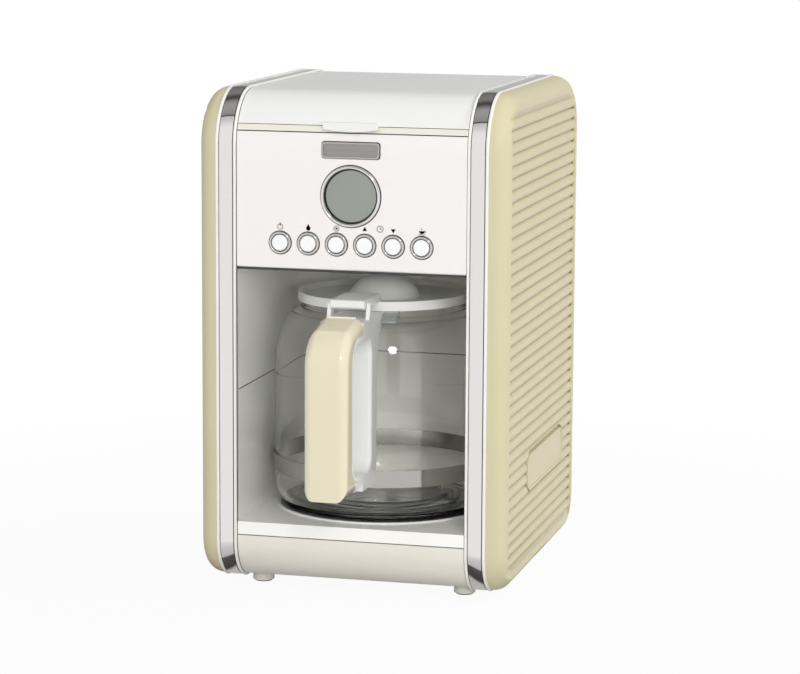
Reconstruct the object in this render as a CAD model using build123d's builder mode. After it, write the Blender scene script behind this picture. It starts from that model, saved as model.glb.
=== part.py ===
from build123d import *
from math import cos, radians, sin
import os

# Drip coffee maker with a glass carafe, in millimetres.
# The origin is on the table, under the carafe's axis. +Z is up, -Y is the front, +X is the right.

os.makedirs("parts", exist_ok=True)

# Body, seen from the side
body_depth = 226.0
axis_setback = 84.0          # front face to the carafe's axis
top_radius = 35.0
bottom_front_radius = 27.0
bottom_rear_radius = 25.0

# Heights that stack up from the table to the top of the lid
foot_height = 6.5
base_height = 30.4           # base underside to the seam below the platform
platform_lip = 9.0           # seam to the platform
bay_height = 164.7           # platform to the bay's ceiling
panel_height = 87.2
strip_height = 4.1           # strip between panel and lid
lid_height = 20.1            # lid's front edge to its top
bay_seam_height = 85.1       # platform to the seam in the bay's wall

# Widths that stack up from the middle to the side
panel_width = 150.0
inner_bead_width = 1.9
band_width = 9.6
outer_bead_width = 2.1
side_panel_width = 12.4

# Walls and gaps
wall = 2.5
panel_sheet = 2.0
side_plate = 2.5             # plates outside the bay's walls
seat_gap = 0.3               # between curved faces that meet
seam_gap = 0.7               # seams that show as dark lines
cover_gap = 0.4              # round covers that move

# Trim hoops
hoop_depth = 4.0             # how far the hoops reach in from the body's outline
band_proud = 1.0
bead_proud = 1.6
bead_round = 0.85

# Ribbed side panels
side_panel_proud = 0.6
side_panel_round = 11.5
side_panel_wall = 2.6
rib_pitch = 7.555
rib_valleys = 39
lowest_valley = 14.0         # above the base underside
rib_valley_depth = 2.3
rib_crest_depth = 0.25
rib_end_rise = 9.0           # half ribs that close the field at its top and bottom
rib_front_margin = 10.4      # panel front to the ends of the ribs
rib_rear_margin = 15.0
plaque_length = 112.0
plaque_height = 24.0
plaque_round = 9.0
plaque_moat = 2.2
plaque_rim = 1.6
plaque_sink = 0.4
plaque_above_base = 66.5
plaque_back = 124.0          # front face to the middle of the plaque

# Rear cover
cover_return = 14.0          # how far the cover's sides reach forward

# Bay
bay_depth = 172.0            # front face to the bay's back wall
bay_corner = 45.0
panel_return = 12.0          # panel's lower edge folded back under the head
panel_fold = 1.9

# Lid and its hinge
hinge_angle = 35.0           # round the rear corner, from the top
hinge_radius = 4.0
hinge_pin_radius = 1.5
hinge_pin_length = 30.0
hinge_lug_width = 10.0
hinge_lug_spacing = 86.0
hinge_gap = 0.05             # running clearance on the pins
lid_skirt_depth = 8.0
lid_skirt_width = 2.7
tab_width = 35.0
tab_height = 5.6
tab_drop = 3.4               # below the lid's edge
tab_proud = 2.6
lid_tab_root = 6.0           # how far the tab reaches back into the lid
tab_bow = 1.6

# Control panel
button_count = 6
button_pitch = 18.4
button_rise = 16.8           # above the panel's lower edge
button_radius = 5.1
button_dome = 0.9
button_length = 12.5
button_proud = 2.2
button_travel = 1.3
button_flange_radius = 6.0
button_flange = 1.4
bezel_radius = 7.2
bezel_sleeve_radius = 6.4
bezel_bore = 5.4
bezel_proud = 1.4
bezel_sleeve = 3.2
display_rise = 47.4
display_radius = 17.0
display_bezel_radius = 19.4
display_bezel_proud = 2.2
display_lens_depth = 1.6
lens_sink = 0.8              # lens behind the panel's face
lens_gap = 0.1
badge_rise = 76.3
badge_width = 37.5
badge_height = 10.3
badge_round = 2.2
badge_rim = 1.1
badge_proud = 1.5
badge_plate_depth = 0.7
board_width = 118.0
board_height = 66.0
board_thickness = 1.6
board_setback = 14.0         # panel face to the board
board_post_radius = 3.0
board_post_side = 4.0        # board's side to the middle of a post
board_post_end = 14.0        # board's top or bottom to the middle of a post
switch_size = 6.0

# Tank and water path
tank_wall = 2.0
tank_side_gap = 4.0          # bay wall's line to the tank's left side
riser_room = 20.0            # how much narrower the tank is on the riser's side
tank_round = 6.0
tank_upper_front = 63.5      # carafe axis to the wide upper part
tank_gap = 2.0               # tank to the walls round it
mouth_side_margin = 8.0      # tank's sides to the filling hole in the deck
mouth_front_margin = 6.5     # tank's front to the filling hole
mouth_rear_margin = 15.7     # filling hole to the deck's rear edge
hose_radius = 4.5
hose_bore = 3.2
hose_bend = 8.0
riser_bend = 12.0
riser_inset = 15.0           # bay wall's line to the riser
riser_setback = 15.7         # riser to the deck's rear edge
spigot_drop = 1.9            # platform to the lower end of the tank's spigot
nipple_rise = 1.5            # heater's underside to the middle of its nipples
nipple_radius = 3.5
nipple_x = 24.0
nipple_end = 60.0
spigot_radius = 4.8
spigot_flange_radius = 8.0
spigot_flange = 1.5
spout_rise = 8.5             # deck to the middle of the spout's arm
spout_socket_radius = 7.0
spout_socket = 2.0
spout_bend = 6.0
shower_radius = 18.0
shower_depth = 11.0

# Filter basket and drip valve
deck_drop = 3.4              # lid edge to the deck under the lid
basket_rim_radius = 63.0
basket_radius = 59.6
basket_foot_radius = 52.0
basket_cone_rise = 25.0      # ceiling to the basket's cone
basket_neck_rise = 8.0
basket_rim = 2.0
basket_wall = 2.0
outlet_radius = 8.5
outlet_drop = 4.1            # outlet below the ceiling
outlet_floor = 2.0
drain_radius = 1.0
drain_count = 6
ceiling_hole_radius = 12.0
filter_radius = 55.0
filter_foot_radius = 47.0
filter_wall = 1.2
filter_rim_radius = 60.0
filter_foot_rise = 30.0
valve_stem_radius = 2.6
valve_tip_radius = 5.5
valve_tip = 2.2
valve_seal_radius = 5.8
valve_seal = 1.8
valve_stem_top = 3.4
valve_lift = 4.0
valve_spring_radius = 4.2
valve_spring_bore = 3.0
valve_bridge = 2.0

# Hot plate and heater
plate_margin = 2.0           # hot plate beyond the carafe's foot
plate_rise = 2.1             # platform to the plate's top
plate_thickness = 2.0
plate_ring_width = 2.0
plate_ring_rise = 1.0
plate_ledge = 4.0            # platform's edge under the hot plate
heater_ring_radius = 48.0
heater_width = 14.0
heater_height = 12.0
heater_sweep = 300.0
stud_radius = 3.0
clamp_width = 14.0
clamp_thickness = 2.0
clamp_margin = 2.0           # clamp beyond the heater
nut_radius = 5.5
nut_height = 5.0
thermostat_radius = 8.0
thermostat_height = 7.0
thermostat_x = 26.0
fuse_radius = 2.2
fuse_length = 16.0

# Base
foot_radius = 7.0
foot_pad_radius = 5.6
foot_pad = 2.0
foot_inset = 7.4             # base's side to the feet
front_foot = 34.0            # front face to the front feet
rear_foot = 38.0             # rear face to the rear feet
post_radius = 4.0
front_post_inset = 7.0       # base's side to the front posts
front_post = 68.0            # front face to the front posts
rear_post_inset = 9.0
rear_post = 54.0             # rear face to the rear posts
screw_radius = 1.6
screw_head_radius = 3.2
screw_head = 2.0
screw_length = 14.0
vent_length = 34.0
vent_width = 3.0
vent_pitch = 7.0
vent_count = 6
rear_vent_z = 230.0          # table to the middle of the rear vents
power_board_width = 24.0
power_board_length = 60.0
power_board_inset = 29.0     # base's side to the middle of the board
power_board_setback = 16.0   # rear face to the board's edge
power_board_rise = 9.0
gland_radius = 6.9
gland_bore = 3.6
gland_flange_radius = 9.0
gland_flange = 1.4
gland_inside = 5.0
gland_inset = 13.0           # rear cover's side to the gland
gland_rise = 20.0            # above the base seam

# Carafe
carafe_side_gap = 3.0        # bay wall to the carafe's side
carafe_foot_step = 6.0       # carafe's side to the edge of its foot
carafe_heel = 10.0
carafe_side = 95.0           # carafe's underside to the start of its shoulder
shoulder_radius = 50.0
shoulder_angle = 40.0
neck_step = 17.5             # carafe's side to its neck
neck_rise = 3.1
rim_rise = 3.2
glass = 2.4
rest_gap = 0.2               # between the carafe and the hot plate
band_rise = 22.0             # carafe's underside to its steel band
strap_height = 11.0
strap_thickness = 0.8
strap_gap = 0.1
collar_thickness = 2.2
collar_height = 6.6
collar_width = 46.0
carafe_lid_overhang = 2.0    # lid beyond the neck
carafe_lid_sheet = 2.4
carafe_lid_rim = 5.9
carafe_lid_rim_width = 2.5
carafe_lid_skirt = 9.0
dome_radius = 23.5
dome_hole = 4.0
dome_gap = 0.4               # dome to the drip valve's tip
lever_width = 22.0
lever_height = 5.2
lever_rise = 6.2             # lid's underside to the lever's underside
lever_root = 4.0             # lid's rim to the lever's inner end
lever_reach = 34.5           # lid's edge to the lever's front
lever_edge = 1.5
carafe_pin_setback = 6.0     # lever's front to its pin
carafe_pin_radius = 1.0
carafe_pin_rise = 1.2        # lever's underside to its pin
ear_width = 2.5
ear_round = 2.1
ear_foot = 10.0

# Handle, straight to the front
handle_reach = 71.6          # carafe's side to the front of the grip
grip_width = 28.0
grip_height = 109.4
grip_top = 2.2               # grip's top above the carafe lid's underside
cover_depth = 14.0
cover_arm = 39.0             # front of the grip to the ends of its cover
cover_slope = 8.3            # how far the cover's top falls towards the front
cover_brow = 22.0
cover_toe = 10.0
cover_edge = 6.0
lip_depth = 2.0              # white lips behind the ends of the cover
lip_stand = 0.8              # how far they stand out round it
liner_depth = 5.0            # inner ring of the grip behind its cover
finger_gap = 40.6
finger_round = 11.0
finger_edge = 2.5
bridge_top_height = 12.4
bridge_bottom_height = 9.9
handle_root = 10.0           # how far the handle is let in behind the neck's front
strap_screw_radius = 1.2
strap_screw_head = 2.2
strap_screw_drop = 2.0       # band's upper edge to the screw

# Places worked out from the sizes above
half_panel = panel_width / 2
front_y = -axis_setback
rear_y = front_y + body_depth
base_z = foot_height
base_seam_z = base_z + base_height
platform_z = base_seam_z + platform_lip
bay_seam_z = platform_z + bay_seam_height
ceiling_z = platform_z + bay_height
panel_top_z = ceiling_z + panel_height
lid_edge_z = panel_top_z + strip_height
top_z = lid_edge_z + lid_height
body_height = top_z - base_z
deck_z = lid_edge_z - deck_drop
bay_back_y = front_y + bay_depth
band_x = half_panel + inner_bead_width
outer_bead_x = band_x + band_width
side_panel_x = outer_bead_x + outer_bead_width
side_x = side_panel_x + side_panel_width
chassis_inset = hoop_depth + seat_gap
cover_front_y = rear_y - cover_return
platform_rear = cover_front_y - seat_gap
corner_y = rear_y - top_radius
corner_z = top_z - top_radius
hinge_reach = top_radius - hinge_radius
hinge_y = corner_y + hinge_reach * sin(radians(hinge_angle))
hinge_z = corner_z + hinge_reach * cos(radians(hinge_angle))
hinge_plane = Plane(
    origin=(0, hinge_y, hinge_z),
    x_dir=(1, 0, 0),
    z_dir=(0, cos(radians(hinge_angle)), -sin(radians(hinge_angle))),
)
button_z = ceiling_z + button_rise
display_z = ceiling_z + display_rise
badge_z = ceiling_z + badge_rise
board_y = front_y + board_setback
plate_top_z = platform_z + plate_rise
plate_under_z = plate_top_z - plate_thickness
heater_z = plate_under_z - heater_height
hose_z = heater_z + nipple_rise
carafe_radius = half_panel - carafe_side_gap
carafe_foot_radius = carafe_radius - carafe_foot_step
neck_radius = carafe_radius - neck_step
carafe_lid_radius = neck_radius + carafe_lid_overhang
plate_radius = carafe_foot_radius + plate_margin
plate_ring_radius = plate_radius + seat_gap + plate_ring_width
carafe_z = plate_top_z + rest_gap
shoulder_z = carafe_z + carafe_side
band_z = carafe_z + band_rise
neck_z = shoulder_z + shoulder_radius * sin(radians(shoulder_angle)) + neck_rise
rim_z = neck_z + rim_rise
carafe_lid_z = rim_z + rest_gap
outlet_z = ceiling_z - outlet_drop
valve_tip_z = outlet_z - valve_lift - 2 * valve_tip
dome_top_z = valve_tip_z - dome_gap
lever_z = carafe_lid_z + lever_rise
pin_z = lever_z + carafe_pin_rise
grip_top_z = carafe_lid_z + grip_top
grip_bottom_z = grip_top_z - grip_height
grip_front_y = -carafe_radius - handle_reach
cover_end_y = grip_front_y + cover_arm
finger_front_y = grip_front_y + cover_depth + liner_depth
finger_back_y = finger_front_y + finger_gap
lever_front = carafe_lid_radius + lever_reach
carafe_pin_reach = lever_front - carafe_pin_setback
tank_front_y = bay_back_y + wall + tank_gap
tank_rear_y = rear_y - wall - tank_gap
tank_left = half_panel - tank_side_gap
tank_right = tank_left - riser_room
tank_mid_x = (tank_right - tank_left) / 2
spigot_y = (tank_front_y + tank_rear_y) / 2
riser_x = half_panel - riser_inset
riser_y = platform_rear - riser_setback
gland_x = half_panel - gland_inset
button_xs = [(i - (button_count - 1) / 2) * button_pitch for i in range(button_count)]
post_places = [
    (side * (half_panel - inset), y)
    for side in (-1, 1)
    for inset, y in ((front_post_inset, front_y + front_post), (rear_post_inset, rear_y - rear_post))
]
foot_places = [
    (side * (half_panel - foot_inset), y)
    for side in (-1, 1)
    for y in (front_y + front_foot, rear_y - rear_foot)
]
power_board_place = (power_board_inset - half_panel, rear_y - power_board_setback - power_board_length / 2)


# Shared outlines

# Side view of the body: local x runs to the rear and local y runs up
with BuildSketch() as body_outline:
    with Locations(((front_y + rear_y) / 2, (base_z + top_z) / 2)):
        Rectangle(body_depth, body_height)
    fillet(body_outline.vertices().group_by(Axis.Y)[-1], top_radius)
    fillet(body_outline.vertices().group_by(Axis.Y)[0].sort_by(Axis.X)[0], bottom_front_radius)
    fillet(body_outline.vertices().group_by(Axis.Y)[0].sort_by(Axis.X)[-1], bottom_rear_radius)

# Plan of the bay that the carafe stands in
with BuildSketch() as bay_plan:
    with Locations((0, front_y + bay_depth / 2)):
        Rectangle(panel_width, bay_depth)
    fillet(bay_plan.vertices().group_by(Axis.Y)[-1], bay_corner)


def outline_at(grow):
    # The body's side view, grown outwards, or inwards where the value is negative
    with BuildSketch() as outline:
        add(body_outline.sketch)
        if grow:
            offset(amount=grow)
    return outline.sketch


def skin(outside, inside, half_width):
    # A length of the body's skin, all the way round its side view
    with BuildPart() as strip:
        with BuildSketch(Plane.YZ):
            add(outline_at(-outside))
            add(outline_at(-inside), mode=Mode.SUBTRACT)
        extrude(amount=half_width, both=True)
    return strip.part


def hollow_body():
    # The whole centre section as a closed shell
    with BuildPart() as shell:
        with BuildSketch(Plane.YZ):
            add(body_outline.sketch)
        extrude(amount=half_panel, both=True)
        with BuildSketch(Plane.YZ):
            add(outline_at(-wall))
        extrude(amount=half_panel - wall, both=True, mode=Mode.SUBTRACT)
    return shell.part


def bay_wall(low, high):
    # The bay's side walls and rounded back wall, between two heights
    with BuildPart() as bend:
        with BuildSketch(Plane.XY.offset(low)):
            offset(bay_plan.sketch, amount=wall)
            add(bay_plan.sketch, mode=Mode.SUBTRACT)
            with Locations((0, front_y)):
                Rectangle(2 * panel_width, 2 * chassis_inset, mode=Mode.SUBTRACT)
        extrude(amount=high - low)
    return bend.part


def hoop(near, width, proud, rounding):
    # A closed hoop of trim round the body, on the right side
    with BuildPart() as loop:
        with BuildSketch(Plane.YZ.offset(near)):
            add(outline_at(proud))
            add(outline_at(-hoop_depth), mode=Mode.SUBTRACT)
        extrude(amount=width)
        if rounding:
            rims = [f.outer_wire().edges() for f in loop.faces().filter_by(Axis.X)]
            fillet([e for rim in rims for e in rim], rounding)
    return loop.part


def ribbed_panel():
    # Right side panel: a rounded shell with a field of convex ribs sunk into its face
    valley_x = side_x - rib_valley_depth
    crest_x = side_x - rib_crest_depth
    low = base_z + lowest_valley
    high = low + (rib_valleys - 1) * rib_pitch
    rib_front = front_y + rib_front_margin
    rib_rear = rear_y - rib_rear_margin
    cavity_depth = side_panel_width - side_panel_wall - rib_valley_depth
    with BuildPart() as cavity:
        with BuildSketch(Plane.YZ.offset(side_panel_x)):
            add(outline_at(side_panel_proud - side_panel_wall))
        extrude(amount=cavity_depth)
        fillet(cavity.faces().sort_by(Axis.X)[-1].edges(), cavity_depth - wall / 2)
    with BuildPart() as panel:
        with BuildSketch(Plane.YZ.offset(side_panel_x)):
            add(outline_at(side_panel_proud))
        extrude(amount=side_panel_width)
        fillet(panel.faces().sort_by(Axis.X)[-1].edges(), side_panel_round)
        add(cavity.part, mode=Mode.SUBTRACT)
        with BuildSketch(Plane.XZ.offset(-rib_rear)):
            with BuildLine():
                Line((crest_x, low - rib_end_rise), (valley_x, low))
                for i in range(rib_valleys - 1):
                    z = low + i * rib_pitch
                    ThreePointArc((valley_x, z), (crest_x, z + rib_pitch / 2), (valley_x, z + rib_pitch))
                Polyline(
                    (valley_x, high),
                    (crest_x, high + rib_end_rise),
                    (side_x + rib_valley_depth, high + rib_end_rise),
                    (side_x + rib_valley_depth, low - rib_end_rise),
                    (crest_x, low - rib_end_rise),
                )
            make_face()
        extrude(amount=rib_rear - rib_front, mode=Mode.SUBTRACT)
    return panel.part


def hose_along(route):
    # A hose that follows a line
    with BuildPart() as tube:
        with BuildSketch(Plane(origin=route @ 0, z_dir=route % 0)):
            Circle(hose_radius)
            Circle(hose_bore, mode=Mode.SUBTRACT)
        sweep(path=route)
    return tube.part


def carafe_profile(grow, top):
    # Half section of the carafe's glass, grown outwards, or inwards where the value is negative
    with BuildSketch(Plane.XZ) as half:
        with BuildLine():
            side = FilletPolyline(
                (0, carafe_z - grow),
                (carafe_foot_radius + grow, carafe_z - grow),
                (carafe_radius + grow, carafe_z + carafe_heel),
                (carafe_radius + grow, shoulder_z),
                radius=carafe_heel,
            )
            shoulder = JernArc(side @ 1, (0, 1), shoulder_radius + grow, shoulder_angle)
            Polyline(
                shoulder @ 1,
                (neck_radius + grow, neck_z + grow),
                (neck_radius + grow, top),
                (0, top),
                (0, carafe_z - grow),
            )
        make_face()
    return half.sketch


def carafe_solid(grow, top):
    # The space inside the carafe's outline as one solid
    with BuildPart() as body:
        add(carafe_profile(grow, top))
        revolve(axis=Axis.Z)
    return body.part


def save(piece, name):
    # Name a finished piece and write it
    piece.label = name
    export_step(piece, f"parts/{name}.step")


# Base tray: the lower skin of the centre section, open at the seam
with BuildPart() as base_tray:
    add(hollow_body())
    split(bisect_by=Plane.XY.offset(base_seam_z), keep=Keep.BOTTOM)
    with BuildSketch(Plane.XY.offset(base_z + wall / 2)):
        with Locations(*post_places):
            Circle(post_radius)
    extrude(amount=platform_z - wall - base_z - wall / 2)
    with BuildSketch(Plane.XY.offset(base_z + wall / 2)):
        with Locations(power_board_place):
            with GridLocations(
                power_board_width - 2 * board_post_radius,
                power_board_length - 2 * board_post_radius,
                2,
                2,
            ):
                Circle(board_post_radius)
    extrude(amount=power_board_rise - wall / 2)
    with BuildSketch(Plane.XY.offset(base_z)):
        with GridLocations(vent_length + vent_pitch, vent_pitch, 2, vent_count):
            SlotOverall(vent_length, vent_width)
    extrude(amount=wall, mode=Mode.SUBTRACT)
    with BuildSketch(Plane.XY.offset(base_z)):
        with Locations(*post_places):
            Circle(screw_head_radius + seat_gap)
    extrude(amount=screw_head, mode=Mode.SUBTRACT)
    with BuildSketch(Plane.XY.offset(base_z)):
        with Locations(*post_places):
            Circle(screw_radius)
    extrude(amount=screw_head + screw_length, mode=Mode.SUBTRACT)
save(base_tray.part, "base_tray")

# Screws that close the base, put in from below
with BuildPart() as base_screws:
    with BuildSketch(Plane.XY.offset(base_z)):
        with Locations(*post_places):
            Circle(screw_head_radius)
    extrude(amount=screw_head)
    with BuildSketch(Plane.XY.offset(base_z + screw_head)):
        with Locations(*post_places):
            Circle(screw_radius)
    extrude(amount=screw_length)
save(base_screws.part, "base_screws")

# Feet, each with a rubber pad let into its underside
with BuildPart() as feet:
    with BuildSketch(Plane.XY.offset(foot_pad / 2)):
        with Locations(*foot_places):
            Circle(foot_radius)
    extrude(amount=foot_height - foot_pad / 2)
    with BuildSketch(Plane.XY.offset(foot_pad / 2)):
        with Locations(*foot_places):
            Circle(foot_pad_radius)
    extrude(amount=foot_pad / 2, mode=Mode.SUBTRACT)
save(feet.part, "feet")

with BuildPart() as foot_pads:
    with BuildSketch():
        with Locations(*foot_places):
            Circle(foot_pad_radius)
    extrude(amount=foot_pad)
save(foot_pads.part, "foot_pads")

# Side plates that the chassis is built between, inside the hoops
with BuildPart() as side_plates:
    with BuildSketch(Plane.YZ.offset(half_panel + wall)):
        add(outline_at(-chassis_inset))
    extrude(amount=side_plate)
    mirror(about=Plane.YZ)
save(side_plates.part, "side_plates")

# Lower chassis: platform, front lip and the bay's walls, up to the seam in the bay
shelf_rear = rear_y - wall - seat_gap
with BuildPart() as lower_chassis:
    add(bay_wall(platform_z - wall, bay_seam_z))
    with BuildSketch(Plane.XY.offset(platform_z - wall)):
        with Locations((0, (front_y + platform_rear) / 2)):
            Rectangle(panel_width, platform_rear - front_y)
        with Locations((0, (front_y + shelf_rear) / 2)):
            Rectangle(panel_width - 2 * (wall + seat_gap), shelf_rear - front_y)
    extrude(amount=wall)
    with BuildSketch(Plane.XY.offset(base_seam_z + seam_gap)):
        with Locations((0, front_y + wall / 2)):
            Rectangle(panel_width, wall)
    extrude(amount=platform_lip - seam_gap)
    with BuildSketch(Plane.XY.offset(platform_z - wall)):
        Circle(plate_radius - plate_ledge)
        with Locations((riser_x, riser_y), (-nipple_x, spigot_y)):
            Circle(hose_radius + wall)
    extrude(amount=wall, mode=Mode.SUBTRACT)
save(lower_chassis.part, "lower_chassis")

# Upper chassis: the bay's walls above the seam, and its ceiling
with BuildPart() as upper_chassis:
    add(bay_wall(bay_seam_z + seam_gap, ceiling_z + wall))
    with BuildSketch(Plane.XY.offset(ceiling_z)):
        add(bay_plan.sketch)
        with Locations((0, front_y)):
            Rectangle(panel_width, 2 * (panel_return + seat_gap), mode=Mode.SUBTRACT)
        Circle(ceiling_hole_radius, mode=Mode.SUBTRACT)
    extrude(amount=wall)
save(upper_chassis.part, "upper_chassis")

# Head front: the wall behind the panel, the strip that shows above it, and the board's posts
button_places = [(x, button_z) for x in button_xs]
deck_front = front_y + panel_sheet + wall
board_mid_z = (button_z + display_z) / 2 + badge_height
board_posts = [
    (side * (board_width / 2 - board_post_side), board_mid_z + up * (board_height / 2 - board_post_end))
    for side in (-1, 1)
    for up in (-1, 1)
]
with BuildPart() as strip:
    add(skin(0, panel_sheet + wall, half_panel))
    split(bisect_by=Plane.XY.offset(panel_top_z), keep=Keep.TOP)
    split(bisect_by=Plane.XY.offset(lid_edge_z - cover_gap), keep=Keep.BOTTOM)
    split(bisect_by=Plane.XZ, keep=Keep.TOP)

with BuildPart() as head_front:
    add(skin(panel_sheet, panel_sheet + wall, half_panel))
    split(bisect_by=Plane.XY.offset(ceiling_z + panel_sheet), keep=Keep.TOP)
    split(bisect_by=Plane.XY.offset(lid_edge_z - cover_gap), keep=Keep.BOTTOM)
    split(bisect_by=Plane.XZ, keep=Keep.TOP)
    add(strip.part)
    with BuildSketch(Plane.XZ.offset(-front_y)):
        with Locations(*button_places):
            Circle(bezel_sleeve_radius + seat_gap)
        with Locations((0, display_z)):
            Circle(display_radius + wall / 2 + seat_gap)
    extrude(amount=-panel_return, mode=Mode.SUBTRACT)
    with BuildSketch(Plane.XZ.offset(-deck_front)):
        with Locations(*board_posts):
            Circle(board_post_radius)
    extrude(amount=-(board_y - deck_front))
save(head_front.part, "head_front")

# Deck under the lid, with holes for the basket, for filling and for the riser, and the hinge lugs
mouth_front_y = tank_upper_front + mouth_front_margin
mouth_rear_y = platform_rear - mouth_rear_margin
with BuildPart() as deck:
    with BuildSketch(Plane.XY.offset(deck_z - wall)):
        with Locations((0, (deck_front + platform_rear) / 2)):
            Rectangle(panel_width, platform_rear - deck_front)
        with Locations((0, (front_y + top_radius + platform_rear) / 2)):
            Rectangle(panel_width + 2 * wall, platform_rear - front_y - top_radius)
        Circle(basket_radius + seat_gap, mode=Mode.SUBTRACT)
        with Locations((tank_mid_x, (mouth_front_y + mouth_rear_y) / 2)):
            RectangleRounded(
                tank_left + tank_right - 2 * mouth_side_margin,
                mouth_rear_y - mouth_front_y,
                tank_round,
                mode=Mode.SUBTRACT,
            )
        with Locations((riser_x, riser_y)):
            Circle(hose_radius + seat_gap, mode=Mode.SUBTRACT)
    extrude(amount=wall)
    with BuildSketch(Plane.YZ):
        add(outline_at(-panel_sheet - wall - seat_gap))
    extrude(amount=panel_width, both=True, mode=Mode.INTERSECT)
    for side in (-1, 1):
        with BuildSketch(Plane.YZ.offset(side * hinge_lug_spacing / 2)):
            with Locations((hinge_y, hinge_z)):
                Circle(hinge_radius - cover_gap)
            Polygon(
                (hinge_y - 2 * hinge_radius, deck_z - wall / 2),
                (platform_rear, deck_z - wall / 2),
                (hinge_y + hinge_radius / 2, hinge_z),
                (hinge_y - hinge_radius / 2, hinge_z),
                align=None,
            )
            with Locations((hinge_y, hinge_z)):
                Circle(hinge_pin_radius + hinge_gap, mode=Mode.SUBTRACT)
        extrude(amount=hinge_lug_width / 2, both=True)
save(deck.part, "deck")

# Rear cover, from the base seam up to the lid's hinge
with BuildPart() as rear_cover:
    add(hollow_body())
    split(bisect_by=Plane.XY.offset(base_seam_z + seam_gap), keep=Keep.TOP)
    split(bisect_by=Plane.XZ.offset(-cover_front_y), keep=Keep.BOTTOM)
    split(bisect_by=hinge_plane.offset(hinge_radius + cover_gap), keep=Keep.TOP)
    with BuildSketch(Plane.XZ.offset(-rear_y)):
        with Locations((0, rear_vent_z)):
            with GridLocations(vent_length + vent_pitch, vent_pitch, 2, vent_count):
                SlotOverall(vent_length, vent_width)
        with Locations((gland_x, base_seam_z + gland_rise)):
            Circle(gland_radius + seat_gap)
    extrude(amount=2 * wall, mode=Mode.SUBTRACT)
save(rear_cover.part, "rear_cover")

# Gland that a cord passes through
with BuildPart() as cord_gland:
    with BuildSketch(Plane.XZ.offset(-rear_y)):
        with Locations((gland_x, base_seam_z + gland_rise)):
            Circle(gland_flange_radius)
    extrude(amount=-gland_flange)
    with BuildSketch(Plane.XZ.offset(-rear_y)):
        with Locations((gland_x, base_seam_z + gland_rise)):
            Circle(gland_radius)
    extrude(amount=gland_inside)
    with BuildSketch(Plane.XZ.offset(-rear_y - gland_flange)):
        with Locations((gland_x, base_seam_z + gland_rise)):
            Circle(gland_bore)
    extrude(amount=gland_flange + gland_inside, mode=Mode.SUBTRACT)
save(cord_gland.part, "cord_gland")

# Trim hoops: a bright band between two thin beads on each side
with BuildPart() as trim_band_right:
    add(hoop(band_x, band_width, band_proud, 0))
save(trim_band_right.part, "trim_band_right")

with BuildPart() as trim_band_left:
    mirror(trim_band_right.part, about=Plane.YZ)
save(trim_band_left.part, "trim_band_left")

with BuildPart() as trim_beads_right:
    add(hoop(half_panel, inner_bead_width, bead_proud, bead_round))
    add(hoop(outer_bead_x, outer_bead_width, bead_proud, bead_round))
save(trim_beads_right.part, "trim_beads_right")

with BuildPart() as trim_beads_left:
    mirror(trim_beads_right.part, about=Plane.YZ)
save(trim_beads_left.part, "trim_beads_left")

# Ribbed side panels. The left one is a mirror of the bare right one
with BuildPart() as side_panel_left:
    mirror(ribbed_panel(), about=Plane.YZ)
save(side_panel_left.part, "side_panel_left")

# The right panel carries a bare plaque that stands in a shallow moat
plaque_place = (front_y + plaque_back, base_z + plaque_above_base)
with BuildPart() as side_panel_right:
    add(ribbed_panel())
    with BuildSketch(Plane.YZ.offset(side_x - rib_valley_depth)):
        with Locations(plaque_place):
            RectangleRounded(
                plaque_length + 2 * plaque_moat,
                plaque_height + 2 * plaque_moat,
                plaque_round + plaque_moat,
            )
    extrude(amount=2 * rib_valley_depth, mode=Mode.SUBTRACT)
    with BuildSketch(Plane.YZ.offset(side_x - rib_valley_depth)):
        with Locations(plaque_place):
            RectangleRounded(plaque_length, plaque_height, plaque_round)
    extrude(amount=rib_valley_depth)
    with BuildSketch(Plane.YZ.offset(side_x - plaque_sink)):
        with Locations(plaque_place):
            RectangleRounded(
                plaque_length - 2 * plaque_rim,
                plaque_height - 2 * plaque_rim,
                plaque_round - plaque_rim,
            )
    extrude(amount=plaque_sink, mode=Mode.SUBTRACT)
save(side_panel_right.part, "side_panel_right")

# Control panel: a bent sheet whose lower edge folds back under the head
with BuildPart() as control_panel:
    add(skin(0, panel_sheet, half_panel))
    split(bisect_by=Plane.XY.offset(ceiling_z), keep=Keep.TOP)
    split(bisect_by=Plane.XY.offset(panel_top_z - seam_gap), keep=Keep.BOTTOM)
    split(bisect_by=Plane.XZ, keep=Keep.TOP)
    with BuildSketch(Plane.XY.offset(ceiling_z)):
        with Locations((0, front_y + panel_return / 2)):
            Rectangle(panel_width, panel_return)
    extrude(amount=panel_sheet)
    fillet(control_panel.edges().filter_by(Axis.X).group_by(Axis.Z)[0].sort_by(Axis.Y)[0], panel_fold)
    with BuildSketch(Plane.XZ.offset(-front_y)):
        with Locations(*button_places):
            Circle(bezel_sleeve_radius + seat_gap)
        with Locations((0, display_z)):
            Circle(display_radius + wall / 2 + seat_gap)
    extrude(amount=-2 * panel_sheet, mode=Mode.SUBTRACT)
save(control_panel.part, "control_panel")

# Bare badge above the display: a bright frame round a dark plate
with BuildPart() as badge_frame:
    with BuildSketch(Plane.XZ.offset(-front_y)):
        with Locations((0, badge_z)):
            RectangleRounded(badge_width, badge_height, badge_round)
            RectangleRounded(
                badge_width - 2 * badge_rim,
                badge_height - 2 * badge_rim,
                badge_round - badge_rim / 2,
                mode=Mode.SUBTRACT,
            )
    extrude(amount=badge_proud)
    fillet(badge_frame.faces().sort_by(Axis.Y)[0].outer_wire().edges(), badge_rim / 3)
save(badge_frame.part, "badge_frame")

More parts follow.
